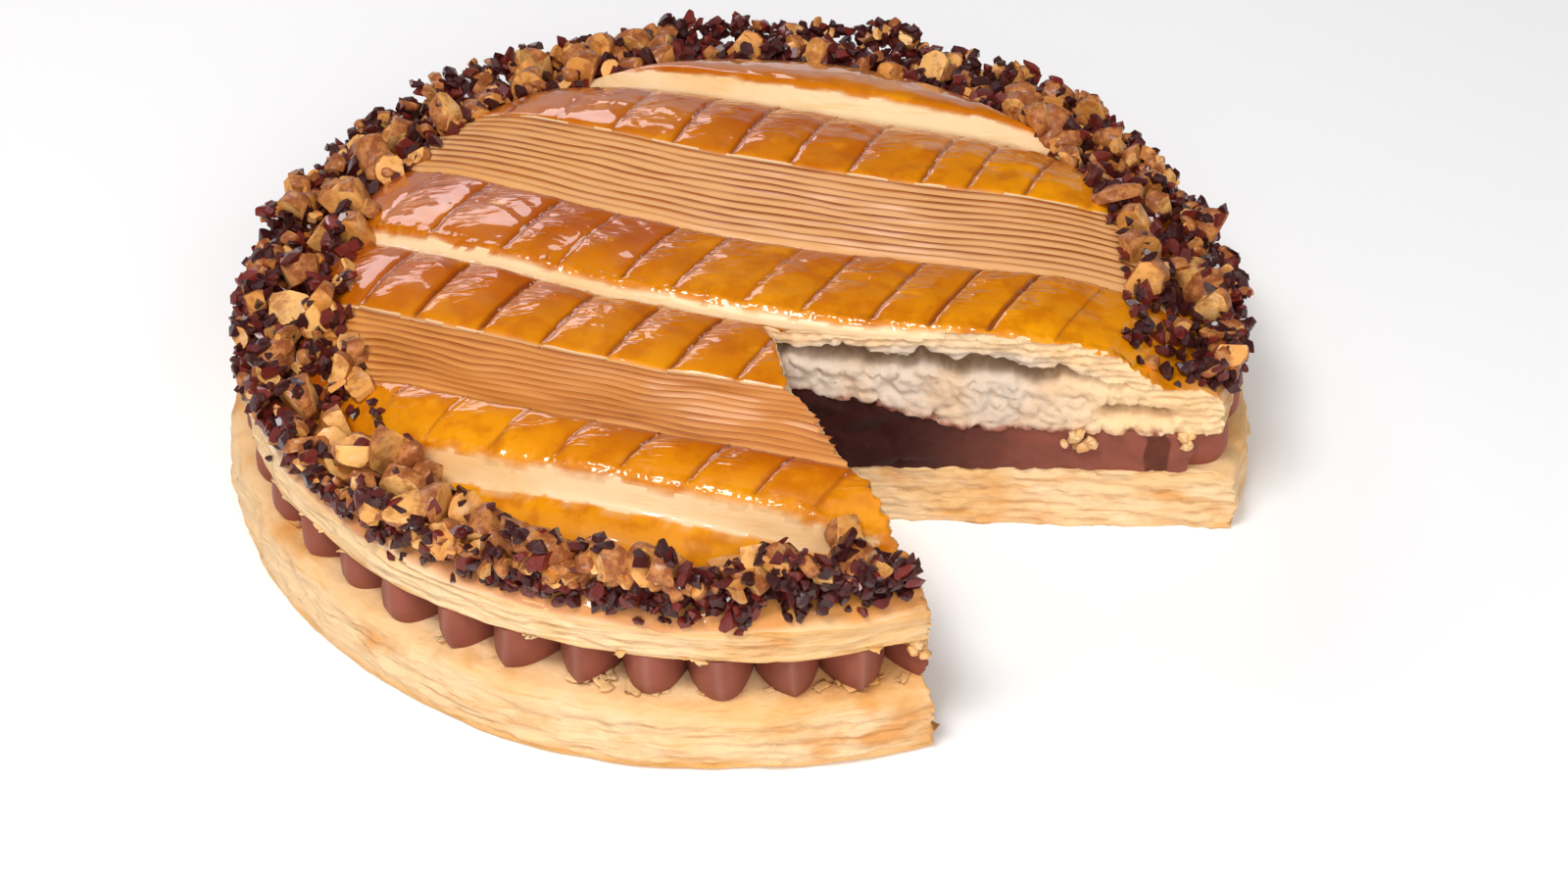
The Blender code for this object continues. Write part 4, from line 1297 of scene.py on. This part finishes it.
class GALETTE_OT_flakes(bpy.types.Operator):
    """Adds the shards and crumbs of pastry that cling to the cut corners, to the rim and between the dollops"""

    bl_idname = "galette.flakes"
    bl_label = "Clinging flakes"

    def execute(self, context):
        chance = random.Random(sizes().seed + 1)
        draw = chance.uniform
        shapes = flake_shapes(chance)
        shards, crumbs = range(SHARDS), range(SHARDS, SHARDS + CRUMBS)
        wanted = []

        def want(spot, shortest, longest, kinds, tilt):
            wanted.append((spot, draw(shortest, longest), chance.choice(kinds), tilt))

        def round_rim(angle, reach, height):
            return reach * math.cos(angle), reach * math.sin(angle), height

        for index in range(CORNER_FLAKES):
            down = draw(0, 1)
            want((32 + 7.5 * down, -97 - 15 * down, draw(0.8, 4.5)), 4, 9, shards, 0.3)
        for index in range(RIM_FLAKES):
            angle, reach = math.radians(draw(60, 289)), UPPER_RADIUS + draw(-1.8, -0.4)
            want(round_rim(angle, reach, UPPER_UNDERSIDE + draw(-0.3, 1.3)), 2.0, 4.6, shards, 0.16)
        for index in range(DOLLOP_FLAKES):
            angle, reach = math.radians(draw(170, 289)), draw(112, 116)
            want(round_rim(angle, reach, LOWER_HEIGHT + 0.5), 2.0, 5.0, shards, 0.10)
        for index in range(FAR_CRUMBS):
            along = chance.choice((77, 80, 101)) + draw(-3.0, 3.0)
            want((along, -38.4 - 0.02 * along + draw(-1, 0.6), draw(24.0, 28.0)), 2, 5, crumbs, 0.6)
        for index in range(NEAR_CRUMBS):
            want((draw(37.2, 39.6), draw(-112, -106), draw(24.0, 27)), 2.4, 4.5, crumbs, 0.7)
        copies, tints = [], []
        for spot, size, kind, tilt in wanted:
            points = points_of(shapes[kind])
            placed = points @ np.array(tumble(chance, tilt)).T * size + spot
            placed[:, 2] = np.maximum(placed[:, 2], 0.1)
            copies.append((placed, polygons_of(shapes[kind])))
            tints.append(np.full(len(points), chance.random()))
        discard(*shapes)
        piece = gather("clinging_flakes", copies)
        paint(piece, gild=np.concatenate(tints) * 0.7)
        put_on(piece, "pale_pastry", None, flaky_edge("flakes", 0.8))
        return {"FINISHED"}


class GALETTE_OT_stage(bpy.types.Operator):
    """Sets out the pale floor, the soft lights and the camera"""

    bl_idname = "galette.stage"
    bl_label = "Stage"

    def light(self, name, place_at, aim, size, energy, tint=(1, 1, 1), glossy=True):
        data = bpy.data.lights.new(name, "AREA")
        data.shape = "RECTANGLE"
        data.size, data.size_y = size
        data.energy = energy
        data.color = tint
        lamp = bpy.data.objects.new(name, data)
        lamp.location = place_at
        lamp.visible_glossy = glossy
        lamp.rotation_euler = (Vector(aim) - Vector(place_at)).to_track_quat("-Z", "Y").to_euler()
        bpy.context.scene.collection.objects.link(lamp)

    def execute(self, context):
        start_fresh()
        bpy.ops.mesh.primitive_plane_add(size=14)
        floor = named("floor")
        paper = Look("white_paper", 0.6, specular=0.2)
        paper.shader.inputs["Base Color"].default_value = (0.985, 0.985, 0.99, 1)
        floor.data.materials.append(paper.material)
        self.light("softbox_above", (-0.30, -0.50, 1.05), (0, 0, 0), (0.42, 0.28), 8.0)
        self.light("softbox_behind", (-0.45, 1.05, 0.68), (0, 0, 0.03), (0.74, 0.34), 3.3, (1.0, 0.90, 0.93))
        self.light("fill_front", (0.35, -1.5, 1.05), (0, 0, 0.02), (1.6, 1.1), 17, glossy=False)
        self.world()
        data = bpy.data.cameras.new("camera")
        data.sensor_width = 36
        data.lens = 65.604
        camera = bpy.data.objects.new("camera", data)
        camera.location = (0.010177, -0.556925, 0.424087)
        camera.rotation_euler = (math.radians(52.3854), 0, 0)
        context.scene.collection.objects.link(camera)
        context.scene.camera = camera
        context.scene.view_settings.view_transform = "Standard"
        context.scene.view_settings.look = "None"
        return {"FINISHED"}

    def world(self):
        """White round the horizon, and dimmer part of the way up behind, so that the glaze keeps its colour."""
        world = bpy.data.worlds.new("studio")
        bpy.context.scene.world = world
        world.use_nodes = True
        tree = world.node_tree
        tree.nodes.clear()
        direction = tree.nodes.new("ShaderNodeTexCoord").outputs["Generated"]
        apart = place(tree, "ShaderNodeSeparateXYZ", {0: direction})

        def ramp(axis, low, high):
            inputs = {"Value": apart.outputs[axis], "From Min": low, "From Max": high}
            return place(tree, "ShaderNodeMapRange", inputs, interpolation_type="SMOOTHSTEP").outputs["Result"]

        inputs = {0: ramp("Z", 0.20, 0.42), 1: ramp("Y", -0.35, 0.3)}
        dim = place(tree, "ShaderNodeMath", inputs, operation="MULTIPLY").outputs[0]
        tone = place(tree, "ShaderNodeMapRange", {"Value": dim, "To Min": 0.50, "To Max": 0.02})
        shade = place(tree, "ShaderNodeBackground", {"Color": (1, 1, 1, 1), "Strength": tone.outputs["Result"]})
        out = tree.nodes.new("ShaderNodeOutputWorld")
        tree.links.new(shade.outputs[0], out.inputs["Surface"])


class GALETTE_PT_panel(bpy.types.Panel):
    bl_idname = "GALETTE_PT_panel"
    bl_label = "Galette des rois"
    bl_space_type = "VIEW_3D"
    bl_region_type = "UI"
    bl_category = "Galette"

    def draw(self, context):
        for step in STEPS:
            self.layout.operator(step.bl_idname)
        for group in (context.scene.galette_sizes, context.scene.galette_colours):
            box = self.layout.box()
            for name in group.bl_rna.properties.keys():
                if name not in ("rna_type", "name"):
                    box.prop(group, name)


STEPS = (
    GALETTE_OT_lower_disc,
    GALETTE_OT_cream,
    GALETTE_OT_upper_disc,
    GALETTE_OT_nuts,
    GALETTE_OT_flakes,
    GALETTE_OT_stage,
)
CLASSES = (GaletteSizes, GaletteColours, *STEPS, GALETTE_PT_panel)


def register():
    for item in CLASSES:
        bpy.utils.register_class(item)
    bpy.types.Scene.galette_sizes = bpy.props.PointerProperty(type=GaletteSizes)
    bpy.types.Scene.galette_colours = bpy.props.PointerProperty(type=GaletteColours)


def unregister():
    del bpy.types.Scene.galette_sizes
    del bpy.types.Scene.galette_colours
    for item in reversed(CLASSES):
        bpy.utils.unregister_class(item)


def main():
    register()
    bpy.ops.galette.lower_disc()
    bpy.ops.galette.cream()
    bpy.ops.galette.upper_disc()
    bpy.ops.galette.nuts()
    bpy.ops.galette.flakes()
    bpy.ops.galette.stage()


if __name__ == "__main__":
    main()
